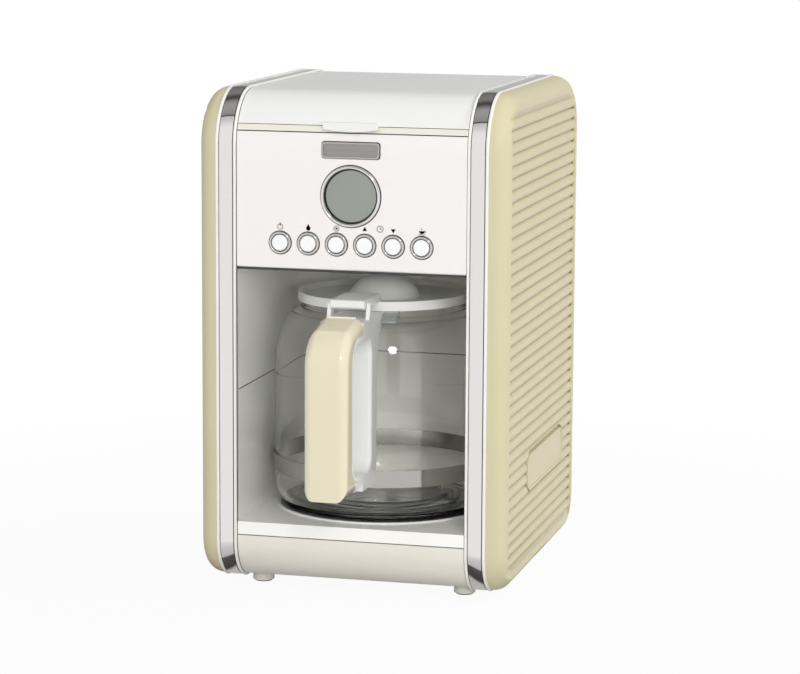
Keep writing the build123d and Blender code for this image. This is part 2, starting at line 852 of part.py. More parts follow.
with BuildPart() as badge_plate:
    with BuildSketch(Plane.XZ.offset(-front_y)):
        with Locations((0, badge_z)):
            RectangleRounded(
                badge_width - 2 * badge_rim,
                badge_height - 2 * badge_rim,
                badge_round - badge_rim / 2,
            )
    extrude(amount=badge_plate_depth)
save(badge_plate.part, "badge_plate")

# Round display: bezel, lens and the module behind it
with BuildPart() as display_bezel:
    with BuildSketch(Plane.XZ.offset(-front_y)):
        with Locations((0, display_z)):
            Circle(display_bezel_radius)
    extrude(amount=display_bezel_proud)
    fillet(display_bezel.faces().sort_by(Axis.Y)[0].edges(), display_bezel_proud / 2)
    with BuildSketch(Plane.XZ.offset(-front_y)):
        with Locations((0, display_z)):
            Circle(display_radius + wall / 2)
    extrude(amount=-panel_sheet - wall)
    with BuildSketch(Plane.XZ.offset(-front_y + display_bezel_proud)):
        with Locations((0, display_z)):
            Circle(display_radius)
    extrude(amount=-display_bezel_proud - panel_sheet - wall, mode=Mode.SUBTRACT)
save(display_bezel.part, "display_bezel")

with BuildPart() as display_lens:
    with BuildSketch(Plane.XZ.offset(-front_y - lens_sink)):
        with Locations((0, display_z)):
            Circle(display_radius - lens_gap)
    extrude(amount=-display_lens_depth)
save(display_lens.part, "display_lens")

with BuildPart() as display_module:
    with BuildSketch(Plane.XZ.offset(-board_y)):
        with Locations((0, display_z)):
            Circle(display_radius - wall / 2)
    extrude(amount=board_setback - lens_sink - display_lens_depth - seat_gap)
    with BuildSketch(Plane.XZ.offset(-board_y)):
        with Locations((0, display_z)):
            Rectangle(2 * display_bezel_radius, 2 * display_radius)
    extrude(amount=wall)
save(display_module.part, "display_module")

# Control board on its posts
with BuildPart() as control_board:
    with BuildSketch(Plane.XZ.offset(-board_y)):
        with Locations((0, board_mid_z)):
            Rectangle(board_width, board_height)
    extrude(amount=-board_thickness)
save(control_board.part, "control_board")

# Push buttons, their bezels and the switches behind them
button_front_y = front_y - button_proud
button_back_y = button_front_y + button_length
with BuildPart() as button_bezels:
    with BuildSketch(Plane.XZ.offset(-front_y)):
        with Locations(*button_places):
            Circle(bezel_radius)
    extrude(amount=bezel_proud)
    fillet(button_bezels.faces().filter_by(Axis.Y).group_by(Axis.Y)[0].edges(), bezel_proud / 2)
    with BuildSketch(Plane.XZ.offset(-front_y)):
        with Locations(*button_places):
            Circle(bezel_sleeve_radius)
    extrude(amount=-bezel_sleeve)
    with BuildSketch(Plane.XZ.offset(-front_y + bezel_proud)):
        with Locations(*button_places):
            Circle(bezel_bore)
    extrude(amount=-bezel_proud - bezel_sleeve, mode=Mode.SUBTRACT)
save(button_bezels.part, "button_bezels")

for number, x in enumerate(button_xs, start=1):
    with BuildPart() as button:
        with BuildSketch(Plane.XZ.offset(-button_front_y)):
            with Locations((x, button_z)):
                Circle(button_radius)
        extrude(amount=-button_length)
        fillet(button.faces().sort_by(Axis.Y)[0].edges(), button_dome)
        with BuildSketch(Plane.XZ.offset(-front_y - bezel_sleeve - seat_gap)):
            with Locations((x, button_z)):
                Circle(button_flange_radius)
        extrude(amount=-button_flange)
    save(button.part, f"button_{number}")

with BuildPart() as button_switches:
    with BuildSketch(Plane.XZ.offset(-board_y)):
        with Locations(*button_places):
            Rectangle(switch_size, switch_size)
    extrude(amount=board_y - button_back_y - button_travel - seat_gap)
save(button_switches.part, "button_switches")

# Lid: the top of the skin with side skirts, a hinge barrel and a thumb tab
lid_half = half_panel - cover_gap
with BuildPart() as top_lid:
    add(skin(0, wall, lid_half))
    for side in (-1, 1):
        with BuildSketch(Plane.YZ.offset(side * (lid_half - lid_skirt_width / 2))):
            add(outline_at(-wall))
            add(outline_at(-wall - lid_skirt_depth), mode=Mode.SUBTRACT)
        extrude(amount=lid_skirt_width / 2, both=True)
    split(bisect_by=Plane.XY.offset(lid_edge_z), keep=Keep.TOP)
    split(bisect_by=hinge_plane, keep=Keep.BOTTOM)
    with BuildSketch(Plane.YZ):
        with Locations((hinge_y, hinge_z)):
            Circle(hinge_radius)
    extrude(amount=lid_half, both=True)
    with BuildSketch(Plane.XZ.offset(-front_y - lid_tab_root)):
        with BuildLine():
            Polyline(
                (-tab_width / 2, lid_edge_z - tab_drop + tab_bow),
                (-tab_width / 2, lid_edge_z - tab_drop + tab_height),
                (tab_width / 2, lid_edge_z - tab_drop + tab_height),
                (tab_width / 2, lid_edge_z - tab_drop + tab_bow),
            )
            ThreePointArc(
                (tab_width / 2, lid_edge_z - tab_drop + tab_bow),
                (0, lid_edge_z - tab_drop),
                (-tab_width / 2, lid_edge_z - tab_drop + tab_bow),
            )
        make_face()
    extrude(amount=lid_tab_root + tab_proud)
    with BuildSketch(Plane.XY.offset(lid_edge_z - lid_height)):
        with Locations((0, front_y + cover_gap + lid_tab_root)):
            Rectangle(panel_width, 2 * lid_tab_root)
    extrude(amount=lid_height, mode=Mode.SUBTRACT)
    for side in (-1, 1):
        with BuildSketch(Plane.YZ.offset(side * hinge_lug_spacing / 2)):
            with Locations((hinge_y, hinge_z)):
                Circle(hinge_radius + cover_gap)
        extrude(amount=hinge_lug_width / 2 + cover_gap, both=True, mode=Mode.SUBTRACT)
        with BuildSketch(Plane.YZ.offset(side * hinge_lug_spacing / 2)):
            with Locations((hinge_y, hinge_z)):
                Circle(hinge_pin_radius + hinge_gap)
        extrude(amount=hinge_pin_length / 2 + cover_gap, both=True, mode=Mode.SUBTRACT)
save(top_lid.part, "top_lid")

with BuildPart() as lid_hinge_pins:
    for side in (-1, 1):
        with BuildSketch(Plane.YZ.offset(side * hinge_lug_spacing / 2)):
            with Locations((hinge_y, hinge_z)):
                Circle(hinge_pin_radius)
        extrude(amount=hinge_pin_length / 2, both=True)
save(lid_hinge_pins.part, "lid_hinge_pins")

# Water tank, deeper above the bay than behind it, open at the top
tank_top_z = deck_z - wall - seat_gap
tank_step_z = ceiling_z + wall + seat_gap
with BuildPart() as water_tank:
    with BuildSketch(Plane.YZ.offset(tank_mid_x)):
        Polygon(
            (tank_front_y, platform_z),
            (tank_rear_y, platform_z),
            (tank_rear_y, tank_top_z),
            (tank_upper_front, tank_top_z),
            (tank_upper_front, tank_step_z),
            (tank_front_y, tank_step_z),
            align=None,
        )
    extrude(amount=(tank_left + tank_right) / 2, both=True)
    offset(amount=-tank_wall, openings=water_tank.faces().sort_by(Axis.Z)[-1])
    with BuildSketch(Plane.XY.offset(platform_z)):
        with Locations((-nipple_x, spigot_y)):
            Circle(spigot_radius + seat_gap)
    extrude(amount=tank_wall, mode=Mode.SUBTRACT)
save(water_tank.part, "water_tank")

# Spigot with a check valve in the tank's floor
spigot_z = platform_z - spigot_drop
spigot_top_z = platform_z + tank_wall + spigot_flange
with BuildPart() as tank_valve:
    with BuildSketch(Plane.XY.offset(spigot_z)):
        with Locations((-nipple_x, spigot_y)):
            Circle(spigot_radius)
    extrude(amount=spigot_top_z - spigot_z)
    with BuildSketch(Plane.XY.offset(platform_z + tank_wall)):
        with Locations((-nipple_x, spigot_y)):
            Circle(spigot_flange_radius)
    extrude(amount=spigot_flange)
    with BuildSketch(Plane.XY.offset(spigot_z)):
        with Locations((-nipple_x, spigot_y)):
            Circle(hose_bore)
    extrude(amount=spigot_top_z - spigot_z, mode=Mode.SUBTRACT)
save(tank_valve.part, "tank_valve")

# Hoses from the tank to the heater and from the heater up to the spout
with BuildLine() as inlet_route:
    FilletPolyline(
        (-nipple_x, nipple_end, hose_z),
        (-nipple_x, spigot_y, hose_z),
        (-nipple_x, spigot_y, spigot_z),
        radius=hose_bend,
    )
with BuildPart() as inlet_hose:
    add(hose_along(inlet_route.wire()))
save(inlet_hose.part, "inlet_hose")

with BuildLine() as riser_route:
    FilletPolyline(
        (nipple_x, nipple_end, hose_z),
        (nipple_x, riser_y, hose_z),
        (riser_x, riser_y, hose_z),
        (riser_x, riser_y, deck_z),
        radius=riser_bend,
    )
with BuildPart() as riser_hose:
    add(hose_along(riser_route.wire()))
save(riser_hose.part, "riser_hose")

# Spout arm on the deck, with a shower head over the basket
spout_z = deck_z + spout_rise
with BuildLine() as spout_route:
    FilletPolyline(
        (riser_x, riser_y, deck_z),
        (riser_x, riser_y, spout_z),
        (0, 0, spout_z),
        radius=spout_bend,
    )
with BuildPart() as water_spout:
    add(hose_along(spout_route.wire()))
    with BuildSketch(Plane.XY.offset(deck_z)):
        with Locations((riser_x, riser_y)):
            Circle(spout_socket_radius)
            Circle((hose_radius + hose_bore) / 2, mode=Mode.SUBTRACT)
    extrude(amount=spout_socket)
    with BuildSketch(Plane.XY.offset(spout_z - hose_radius)):
        Circle(shower_radius)
    extrude(amount=shower_depth)
save(water_spout.part, "water_spout")

# Filter basket hung in the deck, with an outlet over the carafe
cone_z = ceiling_z + basket_cone_rise
neck_top_z = ceiling_z + basket_neck_rise
bore_radius = valve_stem_radius + seat_gap
with BuildPart() as filter_basket:
    with BuildSketch(Plane.XZ):
        Polygon(
            (bore_radius, outlet_z),
            (outlet_radius, outlet_z),
            (outlet_radius, neck_top_z),
            (basket_foot_radius, cone_z),
            (basket_radius, deck_z),
            (basket_rim_radius, deck_z),
            (basket_rim_radius, deck_z + basket_rim),
            (basket_radius - basket_wall, deck_z + basket_rim),
            (basket_foot_radius - basket_wall, cone_z + basket_wall / 2),
            (outlet_radius - basket_wall, neck_top_z + basket_wall / 2),
            (outlet_radius - basket_wall, outlet_z + outlet_floor),
            (bore_radius, outlet_z + outlet_floor),
            align=None,
        )
    revolve(axis=Axis.Z)
    with BuildSketch(Plane.XY.offset(neck_top_z + basket_wall / 2)):
        Rectangle(2 * outlet_radius, 2 * valve_bridge)
    extrude(amount=valve_bridge)
    with BuildSketch(Plane.XY.offset(outlet_z)):
        with PolarLocations((bore_radius + valve_seal_radius) / 2, drain_count):
            Circle(drain_radius)
    extrude(amount=outlet_floor, mode=Mode.SUBTRACT)
save(filter_basket.part, "filter_basket")

# Permanent filter cup in the basket
filter_z = ceiling_z + filter_foot_rise
filter_rim_z = deck_z + basket_rim
with BuildPart() as permanent_filter:
    with BuildSketch(Plane.XZ):
        Polygon(
            (0, filter_z),
            (filter_foot_radius, filter_z),
            (filter_radius, filter_rim_z),
            (filter_rim_radius, filter_rim_z),
            (filter_rim_radius, filter_rim_z + filter_wall),
            (filter_radius - filter_wall, filter_rim_z + filter_wall),
            (filter_foot_radius - filter_wall, filter_z + filter_wall),
            (0, filter_z + filter_wall),
            align=None,
        )
    revolve(axis=Axis.Z)
save(permanent_filter.part, "permanent_filter")

# Drip valve that the carafe's lid holds open, with its seal and spring
seal_z = outlet_z + outlet_floor + seat_gap
stem_top_z = seal_z + valve_seal + valve_stem_top
with BuildPart() as drip_valve:
    with BuildSketch(Plane.XY.offset(valve_tip_z)):
        Circle(valve_tip_radius)
    extrude(amount=valve_tip)
    with BuildSketch(Plane.XY.offset(valve_tip_z + valve_tip)):
        Circle(valve_stem_radius)
    extrude(amount=stem_top_z - valve_tip_z - valve_tip)
save(drip_valve.part, "drip_valve")

with BuildPart() as valve_seal_ring:
    with BuildSketch(Plane.XY.offset(seal_z)):
        Circle(valve_seal_radius)
        Circle(valve_stem_radius, mode=Mode.SUBTRACT)
    extrude(amount=valve_seal)
save(valve_seal_ring.part, "valve_seal")

spring_z = seal_z + valve_seal + seat_gap
with BuildPart() as valve_spring:
    with BuildSketch(Plane.XY.offset(spring_z)):
        Circle(valve_spring_radius)
        Circle(valve_spring_bore, mode=Mode.SUBTRACT)
    extrude(amount=neck_top_z + basket_wall / 2 - seat_gap - spring_z)
save(valve_spring.part, "valve_spring")

# Hot plate with a stud under it, and the ring round its edge
stud_z = heater_z - clamp_thickness - nut_height - wall
with BuildPart() as hot_plate:
    with BuildSketch(Plane.XY.offset(plate_under_z)):
        Circle(plate_radius)
    extrude(amount=plate_thickness)
    fillet(hot_plate.faces().sort_by(Axis.Z)[-1].edges(), plate_thickness / 2)
    with BuildSketch(Plane.XY.offset(stud_z)):
        Circle(stud_radius)
    extrude(amount=plate_under_z - stud_z)
save(hot_plate.part, "hot_plate")

with BuildPart() as hot_plate_ring:
    with BuildSketch(Plane.XY.offset(platform_z)):
        Circle(plate_ring_radius)
        Circle(plate_radius + seat_gap, mode=Mode.SUBTRACT)
    extrude(amount=plate_ring_rise)
    fillet(hot_plate_ring.faces().sort_by(Axis.Z)[-1].edges(), plate_ring_rise / 3)
save(hot_plate_ring.part, "hot_plate_ring")

# Flow heater: an open ring under the hot plate, with a nipple at each end
heater_start = 90 + (360 - heater_sweep) / 2
heater_plane = Plane(
    origin=(0, 0, 0),
    x_dir=(cos(radians(heater_start)), sin(radians(heater_start)), 0),
    z_dir=(sin(radians(heater_start)), -cos(radians(heater_start)), 0),
)
heater_end_y = heater_ring_radius * sin(radians(heater_start))
with BuildPart() as heater:
    with BuildSketch(heater_plane):
        with Locations((heater_ring_radius, heater_z + heater_height / 2)):
            RectangleRounded(heater_width, heater_height, wall)
    revolve(axis=Axis.Z, revolution_arc=heater_sweep)
    with BuildSketch(Plane.XZ.offset(-nipple_end)):
        with Locations((-nipple_x, hose_z), (nipple_x, hose_z)):
            Circle(nipple_radius)
    extrude(amount=nipple_end - heater_end_y + heater_width / 2)
save(heater.part, "heater")

# Bar that holds the heater up, its nut, and the thermal parts under it
clamp_z = heater_z - clamp_thickness
with BuildPart() as heater_clamp:
    with BuildSketch(Plane.XY.offset(clamp_z)):
        SlotOverall(2 * heater_ring_radius + heater_width + 2 * clamp_margin, clamp_width)
        Circle(stud_radius + seat_gap, mode=Mode.SUBTRACT)
    extrude(amount=clamp_thickness)
save(heater_clamp.part, "heater_clamp")

with BuildPart() as clamp_nut:
    with BuildSketch(Plane.XY.offset(clamp_z - nut_height)):
        RegularPolygon(nut_radius, 6)
        Circle(stud_radius + hinge_gap, mode=Mode.SUBTRACT)
    extrude(amount=nut_height)
save(clamp_nut.part, "clamp_nut")

with BuildPart() as thermostat:
    with BuildSketch(Plane.XY.offset(clamp_z - thermostat_height)):
        with Locations((thermostat_x, 0)):
            Circle(thermostat_radius)
    extrude(amount=thermostat_height)
save(thermostat.part, "thermostat")

with BuildPart() as thermal_fuses:
    with BuildSketch(Plane.YZ.offset(-thermostat_x)):
        with Locations((0, clamp_z - fuse_radius)):
            with GridLocations(2 * (fuse_radius + hinge_gap), 0, 2, 1):
                Circle(fuse_radius)
    extrude(amount=fuse_length / 2, both=True)
save(thermal_fuses.part, "thermal_fuses")

# Power board on posts in the base
power_board_z = base_z + power_board_rise
with BuildPart() as power_board:
    with BuildSketch(Plane.XY.offset(power_board_z)):
        with Locations(power_board_place):
            Rectangle(power_board_width, power_board_length)
    extrude(amount=board_thickness)
    with BuildSketch(Plane.XY.offset(power_board_z + board_thickness)):
        with Locations(power_board_place):
            with GridLocations(0, power_board_length / 3, 1, 3):
                Rectangle(power_board_width / 2, power_board_length / 4)
    extrude(amount=heater_height)
save(power_board.part, "power_board")

# Carafe: the glass
with BuildPart() as carafe_glass:
    add(carafe_solid(0, rim_z))
    add(carafe_solid(-glass, rim_z), mode=Mode.SUBTRACT)
save(carafe_glass.part, "carafe_glass")

# Steel band round the glass
with BuildPart() as carafe_band:
    with BuildSketch(Plane.XY.offset(band_z)):
        Circle(carafe_radius + strap_gap + strap_thickness)
        Circle(carafe_radius + strap_gap, mode=Mode.SUBTRACT)
    extrude(amount=strap_height)
save(carafe_band.part, "carafe_band")

# The collar follows the glass on both sides of the handle
collar_z = rim_z - collar_height
with BuildPart() as carafe_collar:
    add(carafe_solid(strap_gap + collar_thickness, rim_z))
    add(carafe_solid(strap_gap, top_z), mode=Mode.SUBTRACT)
    split(bisect_by=Plane.XY.offset(collar_z), keep=Keep.TOP)
    split(bisect_by=Plane.XZ, keep=Keep.TOP)
    split(bisect_by=Plane.YZ.offset(collar_width / 2), keep=Keep.BOTTOM)
    split(bisect_by=Plane.YZ.offset(-collar_width / 2), keep=Keep.TOP)
save(carafe_collar.part, "carafe_collar")

# Carafe lid: flange, rim, skirt and dome in one turned piece, with a thumb lever at the front
lid_top_z = carafe_lid_z + carafe_lid_sheet
rim_inner = carafe_lid_radius - carafe_lid_rim_width
skirt_outer = neck_radius - glass - 2 * seat_gap
with BuildPart() as carafe_lid:
    with BuildSketch(Plane.XZ):
        with BuildLine():
            ThreePointArc(
                (dome_hole, dome_top_z),
                (dome_radius * cos(radians(45)), lid_top_z + (dome_top_z - lid_top_z) * sin(radians(45))),
                (dome_radius, lid_top_z),
            )
            Polyline(
                (dome_radius, lid_top_z),
                (rim_inner, lid_top_z),
                (rim_inner, carafe_lid_z + carafe_lid_rim),
                (carafe_lid_radius, carafe_lid_z + carafe_lid_rim),
                (carafe_lid_radius, carafe_lid_z),
                (skirt_outer, carafe_lid_z),
                (skirt_outer, carafe_lid_z - carafe_lid_skirt),
                (skirt_outer - carafe_lid_sheet, carafe_lid_z - carafe_lid_skirt),
                (skirt_outer - carafe_lid_sheet, carafe_lid_z),
                (dome_radius - carafe_lid_sheet, carafe_lid_z),
            )
            ThreePointArc(
                (dome_radius - carafe_lid_sheet, carafe_lid_z),
                (
                    (dome_radius - carafe_lid_sheet) * cos(radians(45)),
                    carafe_lid_z + (dome_top_z - lid_top_z) * sin(radians(45)),
                ),
                (dome_hole, dome_top_z - carafe_lid_sheet),
            )
            Line((dome_hole, dome_top_z - carafe_lid_sheet), (dome_hole, dome_top_z))
        make_face()
    revolve(axis=Axis.Z)
    with BuildSketch(Plane.YZ):
        Polygon(
            (-lever_front, lever_z),
            (-rim_inner, lever_z),
            (-rim_inner, lid_top_z),
            (lever_root - rim_inner, lid_top_z),
            (lever_root - rim_inner, lever_z + lever_height / 2),
            (-rim_inner, lever_z + lever_height),
            (-lever_front, lever_z + lever_height),
            align=None,
        )
        with Locations((-carafe_pin_reach, pin_z)):
            Circle(ear_round)
    extrude(amount=lever_width / 2, both=True)
    fillet(carafe_lid.edges().filter_by(Axis.X).group_by(Axis.Y)[0], lever_edge)
    with BuildSketch(Plane.YZ):
        with Locations((-carafe_pin_reach, pin_z)):
            Circle(carafe_pin_radius + hinge_gap)
    extrude(amount=lever_width, both=True, mode=Mode.SUBTRACT)
save(carafe_lid.part, "carafe_lid")

ear_inner = lever_width / 2 + cover_gap
with BuildPart() as carafe_lid_pin:
    with BuildSketch(Plane.YZ):
        with Locations((-carafe_pin_reach, pin_z)):
            Circle(carafe_pin_radius)
    extrude(amount=ear_inner + ear_width, both=True)
save(carafe_lid_pin.part, "carafe_lid_pin")

# Handle: a ring that hugs the glass, with ears for the lid's pin
bridge_top_z = carafe_lid_z - cover_gap
finger_top_z = bridge_top_z - bridge_top_height
finger_bottom_z = grip_bottom_z + bridge_bottom_height
finger_middle = ((finger_front_y + finger_back_y) / 2, (finger_top_z + finger_bottom_z) / 2)
finger_height = finger_top_z - finger_bottom_z
frame_back_y = handle_root - neck_radius
screw_z = band_z + strap_height - strap_screw_drop
with BuildPart() as collar_room:
    add(carafe_solid(strap_gap + collar_thickness + seat_gap, top_z))
    split(bisect_by=Plane.XY.offset(collar_z - seat_gap), keep=Keep.TOP)

with BuildPart() as carafe_handle:
    with BuildSketch(Plane.YZ):
        with Locations(((cover_end_y + frame_back_y) / 2, (bridge_top_z + grip_bottom_z) / 2)):
            Rectangle(frame_back_y - cover_end_y, bridge_top_z - grip_bottom_z)
        with Locations(finger_middle):
            RectangleRounded(
                finger_gap + 2 * liner_depth,
                finger_height + 2 * liner_depth,
                finger_round + liner_depth,
            )
            RectangleRounded(finger_gap, finger_height, finger_round, mode=Mode.SUBTRACT)
    extrude(amount=ear_inner + ear_width, both=True)
    for low, high in (
        (finger_top_z + finger_edge, grip_top_z + lip_stand),
        (grip_bottom_z - lip_stand, finger_bottom_z - finger_edge),
    ):
        with BuildSketch(Plane.XZ.offset(-cover_end_y)):
            with Locations((0, (low + high) / 2)):
                Rectangle(grip_width + 2 * lip_stand - 2 * cover_edge, high - low)
        extrude(amount=-lip_depth)
    finger_hole = [w for f in carafe_handle.faces().filter_by(Axis.X) for w in f.inner_wires()]
    fillet([e for w in finger_hole for e in w.edges()], finger_edge)
    for side in (-1, 1):
        with BuildSketch(Plane.YZ.offset(side * (ear_inner + ear_width / 2))):
            with Locations((-carafe_pin_reach, pin_z)):
                Circle(ear_round)
            Polygon(
                (-carafe_pin_reach - ear_foot / 2, bridge_top_z - bridge_top_height / 2),
                (-carafe_pin_reach + ear_foot / 2, bridge_top_z - bridge_top_height / 2),
                (-carafe_pin_reach + ear_foot / 2, bridge_top_z),
                (-carafe_pin_reach + ear_round, pin_z),
                (-carafe_pin_reach - ear_round, pin_z),
                (-carafe_pin_reach - ear_foot / 2, bridge_top_z),
                align=None,
            )
            with Locations((-carafe_pin_reach, pin_z)):
                Circle(carafe_pin_radius + hinge_gap, mode=Mode.SUBTRACT)
        extrude(amount=ear_width / 2, both=True)
    add(carafe_solid(seat_gap, top_z), mode=Mode.SUBTRACT)
    add(collar_room.part, mode=Mode.SUBTRACT)
    with BuildSketch(Plane.XY.offset(band_z - seat_gap)):
        Circle(carafe_radius + strap_gap + strap_thickness + seat_gap)
    extrude(amount=strap_height + 2 * seat_gap, mode=Mode.SUBTRACT)
    with BuildSketch(Plane.XZ.offset(-cover_end_y)):
        with Locations((0, screw_z)):
            Circle(strap_screw_head + seat_gap)
    extrude(amount=-screw_head - seat_gap, mode=Mode.SUBTRACT)
    with BuildSketch(Plane.XZ.offset(-cover_end_y)):
        with Locations((0, screw_z)):
            Circle(strap_screw_radius + hinge_gap)
    extrude(amount=cover_end_y + carafe_radius, mode=Mode.SUBTRACT)
save(carafe_handle.part, "carafe_handle")

with BuildPart() as band_screw:
    with BuildSketch(Plane.XZ.offset(-cover_end_y - seat_gap)):
        with Locations((0, screw_z)):
            Circle(strap_screw_head)
    extrude(amount=-screw_head)
    with BuildSketch(Plane.XZ.offset(-cover_end_y - seat_gap)):
        with Locations((0, screw_z)):
            Circle(strap_screw_radius)
    extrude(amount=cover_end_y + carafe_radius + strap_gap + strap_thickness + 2 * seat_gap)
save(band_screw.part, "band_screw")

# Grip cover: a rounded shell over the front, top and bottom of the handle's ring
with BuildPart() as grip_cover:
    with BuildSketch(Plane.YZ) as side_view:
        Polygon(
            (cover_end_y, grip_bottom_z),
            (grip_front_y, grip_bottom_z),
            (grip_front_y, grip_top_z - cover_slope),
            (cover_end_y, grip_top_z),
            align=None,
        )
        front_corners = side_view.vertices().group_by(Axis.X)[0].sort_by(Axis.Y)
        fillet(front_corners[1], cover_brow)
        fillet(front_corners[0], cover_toe)
    extrude(amount=grip_width / 2, both=True)
    rims = [e for f in grip_cover.faces().filter_by(Axis.X) for e in f.edges()]
    fillet([e for e in rims if e.center().Y < cover_end_y - seat_gap], cover_edge)
    with BuildSketch(Plane.YZ):
        with Locations(finger_middle):
            RectangleRounded(
                finger_gap + 2 * (liner_depth + seat_gap),
                finger_height + 2 * (liner_depth + seat_gap),
                finger_round + liner_depth + seat_gap,
            )
    extrude(amount=grip_width, both=True, mode=Mode.SUBTRACT)
save(grip_cover.part, "grip_cover")
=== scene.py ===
import math

import bmesh
import bpy
from mathutils import Matrix, Vector


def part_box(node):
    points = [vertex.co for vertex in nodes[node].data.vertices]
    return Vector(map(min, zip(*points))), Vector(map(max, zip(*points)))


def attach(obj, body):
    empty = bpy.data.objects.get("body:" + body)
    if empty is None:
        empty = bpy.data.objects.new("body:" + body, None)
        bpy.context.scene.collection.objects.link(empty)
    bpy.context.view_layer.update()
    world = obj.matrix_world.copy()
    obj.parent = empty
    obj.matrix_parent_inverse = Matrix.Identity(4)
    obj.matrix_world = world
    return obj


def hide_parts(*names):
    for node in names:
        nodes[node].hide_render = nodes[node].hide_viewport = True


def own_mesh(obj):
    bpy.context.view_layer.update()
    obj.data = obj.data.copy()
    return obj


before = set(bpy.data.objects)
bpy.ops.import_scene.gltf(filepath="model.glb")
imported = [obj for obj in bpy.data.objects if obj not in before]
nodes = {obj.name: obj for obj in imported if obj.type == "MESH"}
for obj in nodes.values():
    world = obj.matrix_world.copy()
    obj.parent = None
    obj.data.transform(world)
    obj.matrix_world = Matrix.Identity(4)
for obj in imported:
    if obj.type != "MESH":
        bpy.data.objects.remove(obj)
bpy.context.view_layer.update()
print("frame loaded with", len(nodes), "nodes")


def srgb(red, green, blue):  # 0-255 screen values to the linear values that sockets take
    def line(v):
        v = v / 255.0
        return v / 12.92 if v <= 0.04045 else ((v + 0.055) / 1.055) ** 2.4
    return (line(red), line(green), line(blue), 1.0)


def startGroup(name, inputs, outputs):
    group = bpy.data.node_groups.new(name, "ShaderNodeTree")
    for label, kind, value in inputs:
        socket = group.interface.new_socket(label, in_out="INPUT", socket_type=kind)
        socket.default_value = value
    for label, kind in outputs:
        group.interface.new_socket(label, in_out="OUTPUT", socket_type=kind)
    entry = group.nodes.new("NodeGroupInput")
    leave = group.nodes.new("NodeGroupOutput")
    return group, entry, leave


def addNoise(tree, where, scale, detail, rough=0.5):
    noise = tree.nodes.new("ShaderNodeTexNoise")
    tree.links.new(where, noise.inputs["Vector"])
    noise.inputs["Scale"].default_value = scale
    noise.inputs["Detail"].default_value = detail
    noise.inputs["Roughness"].default_value = rough
    return noise


def addRange(tree, value, low, high, fromLow=0.3, fromHigh=0.7, smooth=False):
    remap = tree.nodes.new("ShaderNodeMapRange")
    tree.links.new(value, remap.inputs["Value"])
    remap.inputs["From Min"].default_value = fromLow
    remap.inputs["From Max"].default_value = fromHigh
    for label, v in (("To Min", low), ("To Max", high)):
        if hasattr(v, "links"):
            tree.links.new(v, remap.inputs[label])
        else:
            remap.inputs[label].default_value = v
    if smooth:
        remap.interpolation_type = "SMOOTHSTEP"
    return remap.outputs["Result"]


mixColours, mixResult = (6, 7), 2  # colour sockets of a Mix node


def addMix(tree, fac, colourA, colourB):
    mix = tree.nodes.new("ShaderNodeMix")
    mix.data_type = "RGBA"
    tree.links.new(fac, mix.inputs["Factor"])
    for slot, colour in zip(mixColours, (colourA, colourB)):
        if hasattr(colour, "links"):
            tree.links.new(colour, mix.inputs[slot])
        else:
            mix.inputs[slot].default_value = colour
    return mix.outputs[mixResult]


def addMath(tree, kind, first, second):
    step = tree.nodes.new("ShaderNodeMath")
    step.operation = kind
    for slot, v in enumerate((first, second)):
        if hasattr(v, "links"):
            tree.links.new(v, step.inputs[slot])
        else:
            step.inputs[slot].default_value = v
    return step.outputs[0]


def addVector(tree, kind, first, second=None):
    step = tree.nodes.new("ShaderNodeVectorMath")
    step.operation = kind
    tree.links.new(first, step.inputs[0])
    if second is not None:
        step.inputs[1].default_value = second
    return step


def addDistance(tree, value, span):  # how far a value is from the middle of a span
    first, last = span
    return addMath(tree, "ABSOLUTE", addMath(tree, "SUBTRACT", value, (first + last) / 2), 0.0)


def addPaintedRibShade(tree, colour, shadePlan):  # painted shade between the ribs, darkest in a valley and fading out towards its crests
    where = tree.nodes.new("ShaderNodeTexCoord")
    apart = tree.nodes.new("ShaderNodeSeparateXYZ")
    tree.links.new(where.outputs["Object"], apart.inputs["Vector"])
    outward = addMath(tree, "ABSOLUTE", apart.outputs["X"], 0.0)
    deep = addRange(tree, outward, 1.0, 0.0, shadePlan["valley"], shadePlan["crest"], smooth=True)
    past = []
    for axis in "YZ":  # the field is a rectangle with round corners
        first, last = shadePlan[axis]
        straight = (last - first) / 2 - shadePlan["corner"]
        off = addDistance(tree, apart.outputs[axis], shadePlan[axis])
        over = addMath(tree, "MAXIMUM", addMath(tree, "SUBTRACT", off, straight), 0.0)
        past.append(addMath(tree, "MULTIPLY", over, over))
    inField = addMath(tree, "LESS_THAN", addMath(tree, "ADD", *past), shadePlan["corner"] ** 2)
    shaded = addMix(tree, addMath(tree, "MULTIPLY", deep, inField), colour, srgb(*shadePlan["tone"]))
    first, last = shadePlan["ribs"]  # painted shadow, darkest on the valley floor close to the ends of the ribs
    fromMiddle = addDistance(tree, apart.outputs["Y"], shadePlan["ribs"])
    nearEnd = addRange(tree, fromMiddle, 0.0, 1.0, *((last - first) / 2 - d for d in shadePlan["paintedPit"]))
    floorOnly = addRange(tree, outward, 1.0, 0.0, shadePlan["valley"], shadePlan["paintedPitTop"])
    paintedPit = addMath(tree, "MULTIPLY", addMath(tree, "MULTIPLY", nearEnd, floorOnly), inField)
    return addMix(tree, paintedPit, shaded, srgb(*shadePlan["paintedPitTone"]))


colourSocket, valueSocket = "NodeSocketColor", "NodeSocketFloat"
skinInputs = [("Tone", colourSocket, (1, 1, 1, 1)), ("Drift", colourSocket, (0.9, 0.9, 0.9, 1)),
              ("Gloss Low", valueSocket, 0.2), ("Gloss High", valueSocket, 0.3)]
skinOutputs = [("Colour", colourSocket), ("Roughness", valueSocket), ("Height", valueSocket)]

